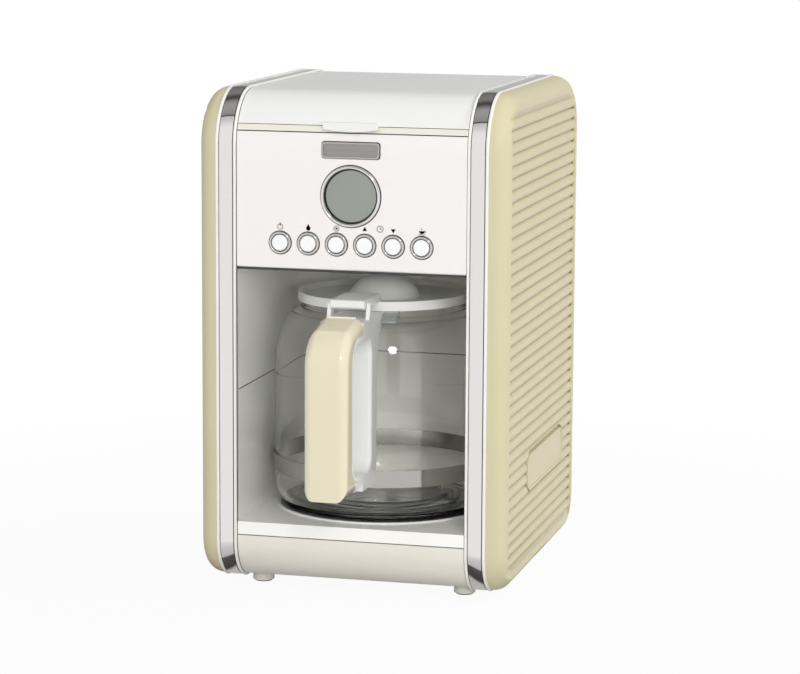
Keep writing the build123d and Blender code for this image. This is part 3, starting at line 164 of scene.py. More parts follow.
# moulded plastic: broad drift of tone and gloss, with a very fine skin
moulded = {"broad": (22.0, 2.0), "fine": (420.0, 2.0), "film": (70.0, 4.0, 0.6)}  # noise scale, detail, roughness
mouldedSkin, entry, leave = startGroup("mouldedSkin", skinInputs, skinOutputs)
where = mouldedSkin.nodes.new("ShaderNodeTexCoord")
broad = addNoise(mouldedSkin, where.outputs["Object"], *moulded["broad"])
fine = addNoise(mouldedSkin, where.outputs["Object"], *moulded["fine"])
film = addNoise(mouldedSkin, where.outputs["Object"], *moulded["film"])
drift = addRange(mouldedSkin, broad.outputs["Fac"], 0.0, 1.0)
tone = addMix(mouldedSkin, drift, entry.outputs["Tone"], entry.outputs["Drift"])
gloss = addRange(mouldedSkin, film.outputs["Fac"], entry.outputs["Gloss Low"], entry.outputs["Gloss High"])
mouldedSkin.links.new(tone, leave.inputs["Colour"])
mouldedSkin.links.new(gloss, leave.inputs["Roughness"])
mouldedSkin.links.new(fine.outputs["Fac"], leave.inputs["Height"])

# drawn metal: fine lines along X and a film that dulls the gloss in places
brushed = {"stretch": (6.0, 900.0, 1800.0), "lines": (1.0, 3.0, 0.6), "film": (40.0, 4.0, 0.6)}
brushedSkin, entry, leave = startGroup("brushedSkin", skinInputs, skinOutputs)
where = brushedSkin.nodes.new("ShaderNodeTexCoord")
stretch = brushedSkin.nodes.new("ShaderNodeMapping")
stretch.inputs["Scale"].default_value = brushed["stretch"]
brushedSkin.links.new(where.outputs["Object"], stretch.inputs["Vector"])
lines = addNoise(brushedSkin, stretch.outputs["Vector"], *brushed["lines"])
film = addNoise(brushedSkin, where.outputs["Object"], *brushed["film"])
tone = addMix(brushedSkin, lines.outputs["Fac"], entry.outputs["Tone"], entry.outputs["Drift"])
gloss = addRange(brushedSkin, film.outputs["Fac"], entry.outputs["Gloss Low"], entry.outputs["Gloss High"])
brushedSkin.links.new(tone, leave.inputs["Colour"])
brushedSkin.links.new(gloss, leave.inputs["Roughness"])
brushedSkin.links.new(lines.outputs["Fac"], leave.inputs["Height"])
print("shared surface groups ready")

bumpDepth = 0.0001  # metres, for every surface that has a bump


def dressMaterial(name, group, look):
    mat = bpy.data.materials.new(name)
    mat.use_nodes = True
    tree = mat.node_tree
    tree.nodes.clear()
    out = tree.nodes.new("ShaderNodeOutputMaterial")
    skin = tree.nodes.new("ShaderNodeBsdfPrincipled")
    tree.links.new(skin.outputs["BSDF"], out.inputs["Surface"])
    surface = tree.nodes.new("ShaderNodeGroup")
    surface.node_tree = group
    surface.inputs["Tone"].default_value = srgb(*look["tone"])
    surface.inputs["Drift"].default_value = srgb(*look["drift"])
    surface.inputs["Gloss Low"].default_value = look["gloss"][0]
    surface.inputs["Gloss High"].default_value = look["gloss"][1]
    colour = surface.outputs["Colour"]
    # painted shade between the ribs, for a look that has it
    if look.get("paintedRibShade"):
        colour = addPaintedRibShade(tree, colour, look["paintedRibShade"])
    tree.links.new(colour, skin.inputs["Base Color"])
    tree.links.new(surface.outputs["Roughness"], skin.inputs["Roughness"])
    if look.get("bump"):
        bump = tree.nodes.new("ShaderNodeBump")
        bump.inputs["Strength"].default_value = look["bump"]
        bump.inputs["Distance"].default_value = bumpDepth
        tree.links.new(surface.outputs["Height"], bump.inputs["Height"])
        tree.links.new(bump.outputs["Normal"], skin.inputs["Normal"])
    for label, value in look.get("sockets", {}).items():
        skin.inputs[label].default_value = value
    if look.get("passLight"):  # lamp light goes straight through clear pieces
        path = tree.nodes.new("ShaderNodeLightPath")
        clear = tree.nodes.new("ShaderNodeBsdfTransparent")
        clear.inputs["Color"].default_value = look["passLight"]
        pick = tree.nodes.new("ShaderNodeMixShader")
        tree.links.new(path.outputs["Is Shadow Ray"], pick.inputs["Fac"])
        tree.links.new(skin.outputs["BSDF"], pick.inputs[1])
        tree.links.new(clear.outputs["BSDF"], pick.inputs[2])
        tree.links.new(pick.outputs["Shader"], out.inputs["Surface"])
    return mat


ribPaintedShade = {
    "valley": 0.0987, "crest": 0.1003,  # the painted shade fades out between these distances from the middle plane
    "Y": (-0.0736, 0.1315), "Z": (0.0169, 0.3116), "corner": 0.025,  # field inside the panel's rounded edge
    "ribs": (-0.0736, 0.127), "paintedPit": (0.0065, 0.0035), "paintedPitTop": 0.0999,  # a painted shadow pit grows between these near an end
    "tone": (190, 181, 152), "paintedPitTone": (112, 105, 86),
}
looks = {
    "shellWhite": (mouldedSkin, dict(tone=(237, 237, 233), drift=(235, 235, 231), gloss=(0.28, 0.29))),
    # the chassis' white, painted lighter than the shell's white to lift the shade inside the bay
    "bayWhitePaintedLight": (mouldedSkin, dict(tone=(252, 251, 245), drift=(250, 249, 243), gloss=(0.28, 0.29))),
    "baseWhite": (mouldedSkin, dict(tone=(234, 229, 218), drift=(232, 227, 215), gloss=(0.28, 0.29))),
    # the side panels' cream, with painted shade between its ribs
    "sideCream": (mouldedSkin, dict(tone=(211, 202, 168), drift=(209, 200, 165), gloss=(0.3, 0.31),
                                    paintedRibShade=ribPaintedShade, sockets={"Specular IOR Level": 0.08})),
    "gripCream": (mouldedSkin, dict(tone=(228, 219, 191), drift=(226, 217, 188), gloss=(0.12, 0.13),
                                    sockets={"Coat Weight": 0.5, "Coat Roughness": 0.04})),
    "beadWhite": (mouldedSkin, dict(tone=(240, 239, 233), drift=(238, 236, 229), gloss=(0.2, 0.22))),
    "brightTrim": (brushedSkin, dict(tone=(231, 228, 226), drift=(226, 223, 221), gloss=(0.04, 0.06),
                                     sockets={"Metallic": 1.0})),
    "strapSteel": (brushedSkin, dict(tone=(184, 182, 176), drift=(174, 172, 166), gloss=(0.1, 0.14),
                                     sockets={"Metallic": 1.0})),
    "rimSteel": (brushedSkin, dict(tone=(212, 210, 207), drift=(204, 202, 199), gloss=(0.06, 0.08),
                                   sockets={"Metallic": 1.0})),
    "satinPanel": (brushedSkin, dict(tone=(246, 242, 239), drift=(241, 237, 234), gloss=(0.3, 0.34), bump=0.01,
                                     sockets={"Metallic": 0.6})),
    "badgeDark": (brushedSkin, dict(tone=(158, 157, 154), drift=(138, 137, 134), gloss=(0.28, 0.36), bump=0.03,
                                    sockets={"Metallic": 0.6})),
    "displayGrey": (mouldedSkin, dict(tone=(146, 152, 142), drift=(142, 148, 138), gloss=(0.1, 0.14),
                                      sockets={"Coat Weight": 0.4, "Coat Roughness": 0.05})),
    # dark colour of the display's mask, also used for the dark strips painted as shade in seams, beside the bands
    # and round the bezels
    "darkMaskAndPaintedShade": (mouldedSkin, dict(tone=(58, 60, 58), drift=(50, 52, 50), gloss=(0.2, 0.3))),
    "buttonWhite": (mouldedSkin, dict(tone=(246, 246, 246), drift=(244, 244, 244), gloss=(0.24, 0.25))),
    "boardGreen": (mouldedSkin, dict(tone=(46, 92, 58), drift=(38, 80, 50), gloss=(0.4, 0.5), bump=0.05)),
    "tankNatural": (mouldedSkin, dict(tone=(224, 225, 221), drift=(217, 219, 215), gloss=(0.35, 0.45), bump=0.02)),
    "hoseRubber": (mouldedSkin, dict(tone=(112, 111, 109), drift=(100, 99, 97), gloss=(0.55, 0.7), bump=0.06)),
    "castHeater": (mouldedSkin, dict(tone=(176, 176, 174), drift=(160, 160, 158), gloss=(0.4, 0.55), bump=0.12,
                                     sockets={"Metallic": 1.0})),
    "plainSteel": (brushedSkin, dict(tone=(190, 190, 188), drift=(176, 176, 174), gloss=(0.2, 0.3),
                                     sockets={"Metallic": 1.0})),
    "plateBlack": (mouldedSkin, dict(tone=(20, 19, 19), drift=(14, 13, 13), gloss=(0.18, 0.26), bump=0.04,
                                     sockets={"Coat Weight": 0.3, "Coat Roughness": 0.1})),
    "jugGlass": (mouldedSkin, dict(tone=(255, 255, 253), drift=(254, 254, 252), gloss=(0.0, 0.012),
                                   passLight=(0.995, 0.995, 0.99, 1.0),
                                   sockets={"Transmission Weight": 1.0, "IOR": 1.47})),
    "clearClip": (mouldedSkin, dict(tone=(240, 243, 243), drift=(236, 240, 240), gloss=(0.08, 0.12),
                                    passLight=(0.9, 0.91, 0.91, 1.0),
                                    sockets={"Transmission Weight": 0.85, "IOR": 1.45})),
    "printInk": (mouldedSkin, dict(tone=(70, 68, 66), drift=(60, 58, 56), gloss=(0.45, 0.55))),
}
materials = {name: dressMaterial(name, group, look) for name, (group, look) in looks.items()}

buttonNodes = ["button_%d" % i for i in range(1, 7)]
wears = {
    "bayWhitePaintedLight": ["lower_chassis", "upper_chassis"],
    "baseWhite": ["base_tray", "head_front", "feet"],
    "shellWhite": ["deck", "rear_cover", "top_lid", "hot_plate_ring", "carafe_handle", "carafe_lid"],
    "sideCream": ["side_panel_left", "side_panel_right"],
    "gripCream": ["grip_cover"],
    "beadWhite": ["trim_beads_left", "trim_beads_right"],
    "brightTrim": ["trim_band_left", "trim_band_right", "display_bezel"],
    "rimSteel": ["button_bezels"],
    "strapSteel": ["carafe_band", "badge_frame"],
    "satinPanel": ["control_panel"],
    "badgeDark": ["badge_plate"],
    "displayGrey": ["display_lens"],
    "buttonWhite": buttonNodes,
    "boardGreen": ["control_board", "power_board", "display_module", "button_switches"],
    "tankNatural": ["side_plates", "water_tank", "tank_valve", "water_spout", "filter_basket", "permanent_filter",
                    "drip_valve", "cord_gland"],
    "hoseRubber": ["inlet_hose", "riser_hose", "valve_seal", "foot_pads"],
    "castHeater": ["heater", "heater_clamp", "thermostat", "thermal_fuses"],
    "plainSteel": ["base_screws", "lid_hinge_pins", "clamp_nut", "valve_spring", "carafe_lid_pin", "band_screw"],
    "plateBlack": ["hot_plate"],
    "jugGlass": ["carafe_glass"],
    "clearClip": ["carafe_collar"],
}
for name, wearers in wears.items():
    for node in wearers:
        for place in nodes[node].material_slots:
            place.material = materials[name]
print("materials on", sum(len(w) for w in wears.values()), "nodes")

tiny = 1e-6  # points closer than this are one


def placePiece(bm, name, body, material, sharpest=None):
    mesh = bpy.data.meshes.new(name)
    if sharpest:  # round shapes shade smoothly, corners above this angle stay crisp
        for face in bm.faces:
            face.smooth = True
        for edge in bm.edges:
            edge.smooth = edge.calc_face_angle(math.pi) < math.radians(sharpest)
    bm.to_mesh(mesh)
    bm.free()
    mesh.materials.append(materials[material])
    piece = bpy.data.objects.new(name, mesh)
    bpy.context.collection.objects.link(piece)
    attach(piece, body)
    return piece


def middle(node):
    low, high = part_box(node)
    return (Vector(low) + Vector(high)) / 2


def roundCorners(bm, corners):  # each corner is a vertex, its setback and its number of steps
    for corner, setback, steps in corners:
        bmesh.ops.bevel(bm, geom=[corner], offset=setback, offset_type="OFFSET", segments=steps, profile=0.5,
                        affect="VERTICES", material=-1)


# bright bands round the body, with dark strips painted as shade lines beneath them and in the seams beside the
# panel
band = {"top": 0.036, "lowFront": 0.028, "lowRear": 0.026, "steps": 40, "crown": 0.00025, "depth": 0.0045,
        "edge": 0.0005, "cuts": 7, "crisp": 30, "shadeDrop": 0.0008, "shadeDepth": 0.003, "seamDrop": 0.00096,
        "seamWidth": 0.0004, "seamDepth": 0.0006}


def frameStrip(near, far, low, high, drop, crown, depth):  # rounded frame in side view, pulled across to a strip
    bm = bmesh.new()
    front, rear, bottom, top = low.y + drop, high.y - drop, low.z + drop, high.z - drop
    corners = [bm.verts.new((near, y, z)) for y, z in ((front, bottom), (rear, bottom), (rear, top), (front, top))]
    bm.faces.new(corners)
    setbacks = [band[k] - drop for k in ("lowFront", "lowRear", "top", "top")]
    roundCorners(bm, [(corner, setback, band["steps"]) for corner, setback in zip(corners, setbacks)])
    outline = list(bm.edges)
    bmesh.ops.delete(bm, geom=bm.faces[:], context="FACES_ONLY")
    pulled = bmesh.ops.extrude_edge_only(bm, edges=outline)["geom"]
    bmesh.ops.translate(bm, vec=(far - near, 0, 0), verts=[g for g in pulled if isinstance(g, bmesh.types.BMVert)])
    across = [e for e in bm.edges if abs(e.verts[0].co.x - e.verts[1].co.x) > tiny]
    bmesh.ops.subdivide_edges(bm, edges=across, cuts=band["cuts"], use_grid_fill=True)
    centre = Vector((0, (front + rear) / 2, (bottom + top) / 2))
    bm.normal_update()
    inward = [f for f in bm.faces if f.normal.dot(f.calc_center_median() - centre) < 0]
    bmesh.ops.reverse_faces(bm, faces=inward)
    bm.normal_update()
    for vert in bm.verts:
        share = 2 * (vert.co.x - near) / (far - near) - 1
        vert.co += vert.normal * crown * (1 - share * share)
    bm.normal_update()
    back = bmesh.ops.extrude_face_region(bm, geom=bm.faces[:], use_keep_orig=True)["geom"]
    for vert in [g for g in back if isinstance(g, bmesh.types.BMVert)]:
        vert.co -= vert.normal * depth
    bmesh.ops.recalc_face_normals(bm, faces=bm.faces[:])
    return bm


for side, sign in (("left", -1), ("right", 1)):
    low, high = (Vector(c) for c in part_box("trim_band_" + side))
    strip = frameStrip(low.x + band["edge"], high.x - band["edge"], low, high, 0.0, band["crown"], band["depth"])
    hoop = placePiece(strip, "brightBand_" + side, "housing", "brightTrim", band["crisp"])
    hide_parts("trim_band_" + side)
    # dark strip painted behind the band as its shade line
    strip = frameStrip(low.x, high.x, low, high, band["shadeDrop"], 0.0, band["shadeDepth"])
    placePiece(strip, "bandShadeLine_" + side, "housing", "darkMaskAndPaintedShade", band["crisp"])
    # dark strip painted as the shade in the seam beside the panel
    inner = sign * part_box("control_panel")[1][0]
    seamStart = inner - sign * band["seamWidth"]
    strip = frameStrip(seamStart, inner, low, high, band["seamDrop"], 0.0, band["seamDepth"])
    placePiece(strip, "panelSeamShade_" + side, "housing", "darkMaskAndPaintedShade", band["crisp"])

# bright rims round the display and the buttons: radius, half width, height and steps of each
rims = {"display": (0.0183, 0.0011, 0.0022, 144), "button": (0.0063, 0.0009, 0.0014, 72), "sides": 28,
        "backShare": 0.2, "crisp": 80}


def spinRim(bm, centre, bead, width, proud, steps):  # half-round rim on a flat face
    made = bmesh.ops.create_circle(bm, segments=rims["sides"], radius=1.0)["verts"]
    lay = Matrix.Translation(centre + Vector((bead, 0, 0))) @ Matrix.Diagonal((width, proud, 1, 1))
    bmesh.ops.transform(bm, matrix=lay, verts=made)
    for vert in made:
        if vert.co.y > centre.y:
            vert.co.y = centre.y + (vert.co.y - centre.y) * rims["backShare"]
    edges = list({e for v in made for e in v.link_edges})
    bmesh.ops.spin(bm, geom=made + edges, cent=centre, axis=(0, 1, 0), angle=math.tau, steps=steps, use_merge=True)


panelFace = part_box("control_panel")[0][1]
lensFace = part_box("display_lens")[0][1]
lensSpot = middle("display_lens")
buttonSpots = [middle(button) for button in buttonNodes]

bm = bmesh.new()
spinRim(bm, Vector((lensSpot.x, panelFace, lensSpot.z)), *rims["display"])
bmesh.ops.recalc_face_normals(bm, faces=bm.faces[:])
displayRim = placePiece(bm, "displayRim", "housing", "brightTrim", rims["crisp"])
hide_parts("display_bezel")
bm = bmesh.new()
for spot in buttonSpots:
    spinRim(bm, Vector((spot.x, panelFace, spot.z)), *rims["button"])
bmesh.ops.recalc_face_normals(bm, faces=bm.faces[:])
buttonRims = placePiece(bm, "buttonRims", "housing", "rimSteel", rims["crisp"])
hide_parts("button_bezels")
print("bands and rims made")

# jug: half section with rounded corners, turned about its axis
jug = {
    "steps": 128,
    "wide": 0.01, "wideSteps": 24, "smallSteps": 8,  # roundings wider than this take more steps
    "crisp": 60,
    "section": [  # radius, height, setback of the rounding, all in millimetres
        (0.0, 50.6, 0.0), (45.0, 50.6, 4.0), (51.0, 48.2, 2.0), (66.0, 48.2, 4.5), (72.0, 57.0, 4.5),
        (72.0, 161.4, 18.1), (60.0, 175.6, 1.6), (54.5, 178.4, 1.4), (54.5, 181.64, 0.9),
        (52.3, 181.64, 0.9), (52.3, 177.2, 1.4), (58.6, 173.9, 1.6), (69.9, 160.6, 17.6), (69.9, 57.6, 4.0),
        (65.0, 50.6, 2.0), (61.5, 50.6, 0.6), (60.3, 52.0, 0.6), (57.5, 52.0, 0.6), (56.3, 50.9, 0.6),
        (51.6, 50.9, 0.8), (49.0, 53.0, 0.8), (44.0, 53.0, 0.7), (42.6, 54.2, 0.6), (39.8, 54.2, 0.6),
        (38.4, 53.2, 0.7), (0.0, 53.2, 0.0),
    ],
}
bm = bmesh.new()
corners = [bm.verts.new((r / 1000, 0.0, z / 1000)) for r, z, setback in jug["section"]]
bm.faces.new(corners)
setbacks = [setback / 1000 for r, z, setback in jug["section"]]
roundCorners(bm, [(c, cut, jug["wideSteps"] if cut > jug["wide"] else jug["smallSteps"])
                  for c, cut in zip(corners, setbacks) if cut])
bmesh.ops.delete(bm, geom=bm.faces[:], context="FACES_ONLY")
onAxis = [e for e in bm.edges if all(abs(v.co.x) < tiny for v in e.verts)]
bmesh.ops.delete(bm, geom=onAxis, context="EDGES")
bmesh.ops.spin(bm, geom=bm.verts[:] + bm.edges[:], cent=(0, 0, 0), axis=(0, 0, 1), angle=math.tau,
               steps=jug["steps"], use_merge=True)
bmesh.ops.remove_doubles(bm, verts=bm.verts[:], dist=tiny)
bmesh.ops.recalc_face_normals(bm, faces=bm.faces[:])
jugBody = placePiece(bm, "jugBody", "carafe", "jugGlass", jug["crisp"])
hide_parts("carafe_glass")
print("jug turned,", len(jugBody.data.polygons), "faces")

# grip: the cover's own shape with its roundings shaded smoothly
low, high = (Vector(c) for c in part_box("grip_cover"))
grip = {"half": high.x, "foot": low.z, "round": 0.0085, "reach": 0.02, "share": 0.7, "crisp": 25}
bm = bmesh.new()
bm.from_mesh(nodes["grip_cover"].data)
bmesh.ops.remove_doubles(bm, verts=bm.verts[:], dist=tiny)
for vert in bm.verts:  # the toe's two corners are drawn up, rounder than the cover alone
    out = max(0.0, abs(vert.co.x) - grip["half"] + grip["round"])
    lift = grip["round"] - math.sqrt(max(0.0, grip["round"] ** 2 - out * out))
    vert.co.z += grip["share"] * lift * max(0.0, 1 - (vert.co.z - grip["foot"]) / grip["reach"])
gripSkin = placePiece(bm, "gripSkin", "carafe", "gripCream", grip["crisp"])
even = gripSkin.modifiers.new("evenShade", "WEIGHTED_NORMAL")
even.keep_sharp = True
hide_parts("grip_cover")

# jug lid: its own shape down to just under the disc, as nothing shows below it in the photograph
lidCut = {"height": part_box("carafe_glass")[1][2] - 0.0004, "crisp": 25}
bm = bmesh.new()
bm.from_mesh(nodes["carafe_lid"].data)
bmesh.ops.remove_doubles(bm, verts=bm.verts[:], dist=tiny)
cut = bmesh.ops.bisect_plane(bm, geom=bm.verts[:] + bm.edges[:] + bm.faces[:], plane_no=(0, 0, 1),
                             plane_co=(0, 0, lidCut["height"]), clear_inner=True)["geom_cut"]
bmesh.ops.triangle_fill(bm, use_beauty=True, edges=[g for g in cut if isinstance(g, bmesh.types.BMEdge)])
bmesh.ops.recalc_face_normals(bm, faces=bm.faces[:])
jugLid = placePiece(bm, "jugLid", "carafe", "shellWhite", lidCut["crisp"])
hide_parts("carafe_lid")

# dark strips painted as shade: under the panel's fold and in the two seams above the panel
shadeStrip = {"inset": 0.0005, "fold": 0.0011, "round": 0.0001, "crisp": 30}
low, high = (Vector(c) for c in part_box("control_panel"))
acrossPanel = (low.x + shadeStrip["inset"], high.x - shadeStrip["inset"])
shadeStripSpans = {  # along X, Y and Z
    "panelFoldShade": (acrossPanel, (-0.0835, -0.0813), (low.z - shadeStrip["fold"], low.z)),
    "panelTopSeamShade": (acrossPanel, (-0.0819, -0.0807), (0.29712, 0.29778)),
    "lidSeamShade": (acrossPanel, (-0.0805, -0.0795), (0.30152, 0.30188)),
}
for name, spans in shadeStripSpans.items():
    bm = bmesh.new()
    bmesh.ops.create_cube(bm, size=1.0)
    bmesh.ops.scale(bm, vec=[b - a for a, b in spans], verts=bm.verts[:])
    bmesh.ops.translate(bm, vec=[(a + b) / 2 for a, b in spans], verts=bm.verts[:])
    bmesh.ops.bevel(bm, geom=bm.edges[:], offset=shadeStrip["round"], offset_type="OFFSET", segments=2, profile=0.5,
                    affect="EDGES", material=-1)
    placePiece(bm, name, "housing", "darkMaskAndPaintedShade", shadeStrip["crisp"])

# dark strip painted as the shade in the seam round the bay, between the two halves of the chassis
baySeamShade = {"half": 0.0752, "front": -0.079, "back": 0.0882, "corner": 0.0452, "steps": 24, "from": 0.13105,
           "to": 0.13165, "thick": 0.0003, "crisp": 30}
bm = bmesh.new()
corners = [bm.verts.new((x, y, baySeamShade["from"])) for x, y in (
    (-baySeamShade["half"], baySeamShade["front"]), (baySeamShade["half"], baySeamShade["front"]),
    (baySeamShade["half"], baySeamShade["back"]), (-baySeamShade["half"], baySeamShade["back"]))]
bm.faces.new(corners)
roundCorners(bm, [(corner, baySeamShade["corner"], baySeamShade["steps"]) for corner in corners[2:]])
bmesh.ops.delete(bm, geom=bm.faces[:], context="FACES_ONLY")
across = [e for e in bm.edges if all(abs(v.co.y - baySeamShade["front"]) < tiny for v in e.verts)]
bmesh.ops.delete(bm, geom=across, context="EDGES")
pulled = bmesh.ops.extrude_edge_only(bm, edges=bm.edges[:])["geom"]
raised = [g for g in pulled if isinstance(g, bmesh.types.BMVert)]
bmesh.ops.translate(bm, vec=(0, 0, baySeamShade["to"] - baySeamShade["from"]), verts=raised)
bmesh.ops.recalc_face_normals(bm, faces=bm.faces[:])
bmesh.ops.solidify(bm, geom=bm.faces[:], thickness=baySeamShade["thick"])
placePiece(bm, "baySeamShade", "housing", "darkMaskAndPaintedShade", baySeamShade["crisp"])
print("grip, jug lid and seams made")

# thin flat shapes on the panel, drawn facing the front
facing = Matrix.Rotation(math.radians(90), 4, "X")


def addRing(bm, centre, inner, outer, segments):
    rim = bmesh.ops.create_circle(bm, segments=segments, radius=outer, matrix=Matrix.Translation(centre) @ facing)
    edges = list({e for v in rim["verts"] for e in v.link_edges})
    grown = bmesh.ops.extrude_edge_only(bm, edges=edges)["geom"]
    inside = [g for g in grown if isinstance(g, bmesh.types.BMVert)]
    bmesh.ops.scale(bm, vec=[inner / outer] * 3, space=Matrix.Translation(-Vector(centre)), verts=inside)


def addDisc(bm, centre, radius, segments, turn=0.0):
    spun = Matrix.Translation(centre) @ facing @ Matrix.Rotation(math.radians(turn), 4, "Z")
    bmesh.ops.create_circle(bm, cap_ends=True, segments=segments, radius=radius, matrix=spun)


def addBar(bm, centre, width, height, turn=0.0):
    spun = Matrix.Translation(centre) @ facing @ Matrix.Rotation(math.radians(turn), 4, "Z")
    sized = spun @ Matrix.Diagonal((width, height, 1, 1))
    bmesh.ops.create_grid(bm, x_segments=1, y_segments=1, size=0.5, matrix=sized)


def finishFlat(bm, name, thick, material):
    bmesh.ops.recalc_face_normals(bm, faces=bm.faces[:])
    backward = [f for f in bm.faces if f.normal.y > 0]
    bmesh.ops.reverse_faces(bm, faces=backward)
    bmesh.ops.solidify(bm, geom=bm.faces[:], thickness=thick)
    return placePiece(bm, name, "housing", material)


# dark mask round the display's edge, behind its bezel
mask = {"inner": 0.0163, "outer": 0.01685, "steps": 128, "thick": 0.0001}
bm = bmesh.new()
addRing(bm, (lensSpot.x, lensFace, lensSpot.z), mask["inner"], mask["outer"], mask["steps"])
finishFlat(bm, "displayEdge", mask["thick"], "darkMaskAndPaintedShade")

# thin dark rings painted as shade lines round the bezels and the badge: inner and outer radius, and steps
shadeRings = {"display": (0.0192, 0.0199, 128), "button": (0.007, 0.00765, 64), "thick": 0.00005,
        "badgeMargin": 0.0004, "badgeCorner": 0.0022, "cornerSteps": 8}
bm = bmesh.new()
addRing(bm, (lensSpot.x, panelFace, lensSpot.z), *shadeRings["display"])
for spot in buttonSpots:
    addRing(bm, (spot.x, panelFace, spot.z), *shadeRings["button"])
low, high = (Vector(c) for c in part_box("badge_frame"))
badgeSpot, margin = middle("badge_frame"), 2 * shadeRings["badgeMargin"]
addBar(bm, (badgeSpot.x, panelFace, badgeSpot.z), high.x - low.x + margin, high.z - low.z + margin)
roundCorners(bm, [(v, shadeRings["badgeCorner"], shadeRings["cornerSteps"]) for v in bm.faces[:][-1].verts])
finishFlat(bm, "bezelShadeRings", shadeRings["thick"], "darkMaskAndPaintedShade")

# plain signs above the buttons
signs = {
    "rise": 0.0101, "ring": 0.0019, "line": 0.00042, "thick": 0.00004,
    "ringSteps": 48, "discSteps": 40, "dotSteps": 32,
    # shares of the ring from here on, only the bar's width is a share of the line
    "bar": {"rise": 0.75, "width": 1.2, "height": 1.3},
    "drop": {"fall": 0.3, "round": 0.75, "rise": 0.45, "point": 0.78},
    "dot": 0.4,
    "triangle": 0.95,
    "clock": {"size": 1.15, "longRise": 0.38, "long": 0.8, "shortOut": 0.3, "shortFall": 0.03, "short": 0.62},
    "clockAt": (0.0191, 0.0007),  # metres from the middle, and above the other signs
    "cup": {"rise": 0.2, "bowl": 0.95, "earFall": 0.1, "earInner": 0.22, "earOuter": 0.42, "saucerFall": 1.0,
            "saucer": 2.2, "steamLeft": 0.1, "steamRise": 0.75, "steam": 0.7, "steamTurn": 18},
}
bm = bmesh.new()
spots = [Vector((b.x, panelFace, b.z + signs["rise"])) for b in buttonSpots]
ring, line = signs["ring"], signs["line"]

bar = signs["bar"]  # first button: bar in a ring
addRing(bm, spots[0], ring - line, ring, signs["ringSteps"])
addBar(bm, spots[0] + Vector((0, 0, ring * bar["rise"])), line * bar["width"], ring * bar["height"])

drop = signs["drop"]  # second: a disc with a point on it
addDisc(bm, spots[1] - Vector((0, 0, ring * drop["fall"])), ring * drop["round"], signs["discSteps"])
addDisc(bm, spots[1] + Vector((0, 0, ring * drop["rise"])), ring * drop["point"], 3)

addRing(bm, spots[2], ring - line, ring, signs["ringSteps"])  # third: dot in a ring
addDisc(bm, spots[2], ring * signs["dot"], signs["dotSteps"])

addDisc(bm, spots[3], ring * signs["triangle"], 3)  # fourth and fifth: three sides make triangles, up and down
addDisc(bm, spots[4], ring * signs["triangle"], 3, 180)

clock = signs["clock"]  # between them: a clock with two hands
face = Vector((signs["clockAt"][0], panelFace, spots[3].z + signs["clockAt"][1]))
addRing(bm, face, ring * clock["size"] - line, ring * clock["size"], signs["ringSteps"])
addBar(bm, face + Vector((0, 0, ring * clock["longRise"])), line, ring * clock["long"])
addBar(bm, face + Vector((ring * clock["shortOut"], 0, -ring * clock["shortFall"])), ring * clock["short"], line)

cup = signs["cup"]  # sixth: half a disc with an ear, a saucer and a line of steam
brim = spots[5] + Vector((0, 0, ring * cup["rise"]))
bowl = bmesh.new()
addDisc(bowl, brim, ring * cup["bowl"], signs["discSteps"])
bmesh.ops.bisect_plane(bowl, geom=bowl.verts[:] + bowl.edges[:] + bowl.faces[:], plane_co=brim, plane_no=(0, 0, 1),
                       clear_outer=True)
bowlMesh = bpy.data.meshes.new("bowl")
bowl.to_mesh(bowlMesh)
bowl.free()
bm.from_mesh(bowlMesh)
bpy.data.meshes.remove(bowlMesh)
ear = spots[5] + Vector((ring * cup["bowl"], 0, -ring * cup["earFall"]))
addRing(bm, ear, ring * cup["earInner"], ring * cup["earOuter"], signs["dotSteps"])
addBar(bm, spots[5] - Vector((0, 0, ring * cup["saucerFall"])), ring * cup["saucer"], line)
steam = spots[5] + Vector((-ring * cup["steamLeft"], 0, ring * cup["steamRise"]))
addBar(bm, steam, line, ring * cup["steam"], cup["steamTurn"])
finishFlat(bm, "buttonSigns", signs["thick"], "printInk")
print("display edge, seats and signs made")

# drip valve's spring: one wire wound round the stem, made at one fixed length
low, high = (Vector(c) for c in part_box("valve_spring"))
coil = {"wire": 0.0004, "radius": high.x - 0.0005, "turns": 5, "stepsPerTurn": 36, "sides": 12, "crisp": 50,
        "travel": 0.004}
bm = bmesh.new()
start = Matrix.Translation((coil["radius"], 0, low.z + coil["wire"])) @ facing
wire = bmesh.ops.create_circle(bm, segments=coil["sides"], radius=coil["wire"], matrix=start)["verts"]
steps = coil["turns"] * coil["stepsPerTurn"]
rise = (high.z - low.z - 2 * coil["wire"]) / steps
bmesh.ops.spin(bm, geom=wire + bm.edges[:], cent=(0, 0, 0), axis=(0, 0, 1), dvec=(0, 0, rise),
               angle=math.tau * coil["turns"], steps=steps)
bmesh.ops.edgeloop_fill(bm, edges=[e for e in bm.edges if e.is_boundary])
bmesh.ops.recalc_face_normals(bm, faces=bm.faces[:])
springCoil = placePiece(bm, "springCoil", "housing", "plainSteel", coil["crisp"])
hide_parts("valve_spring")
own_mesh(springCoil)
print("spring wound,", len(springCoil.data.polygons), "faces")

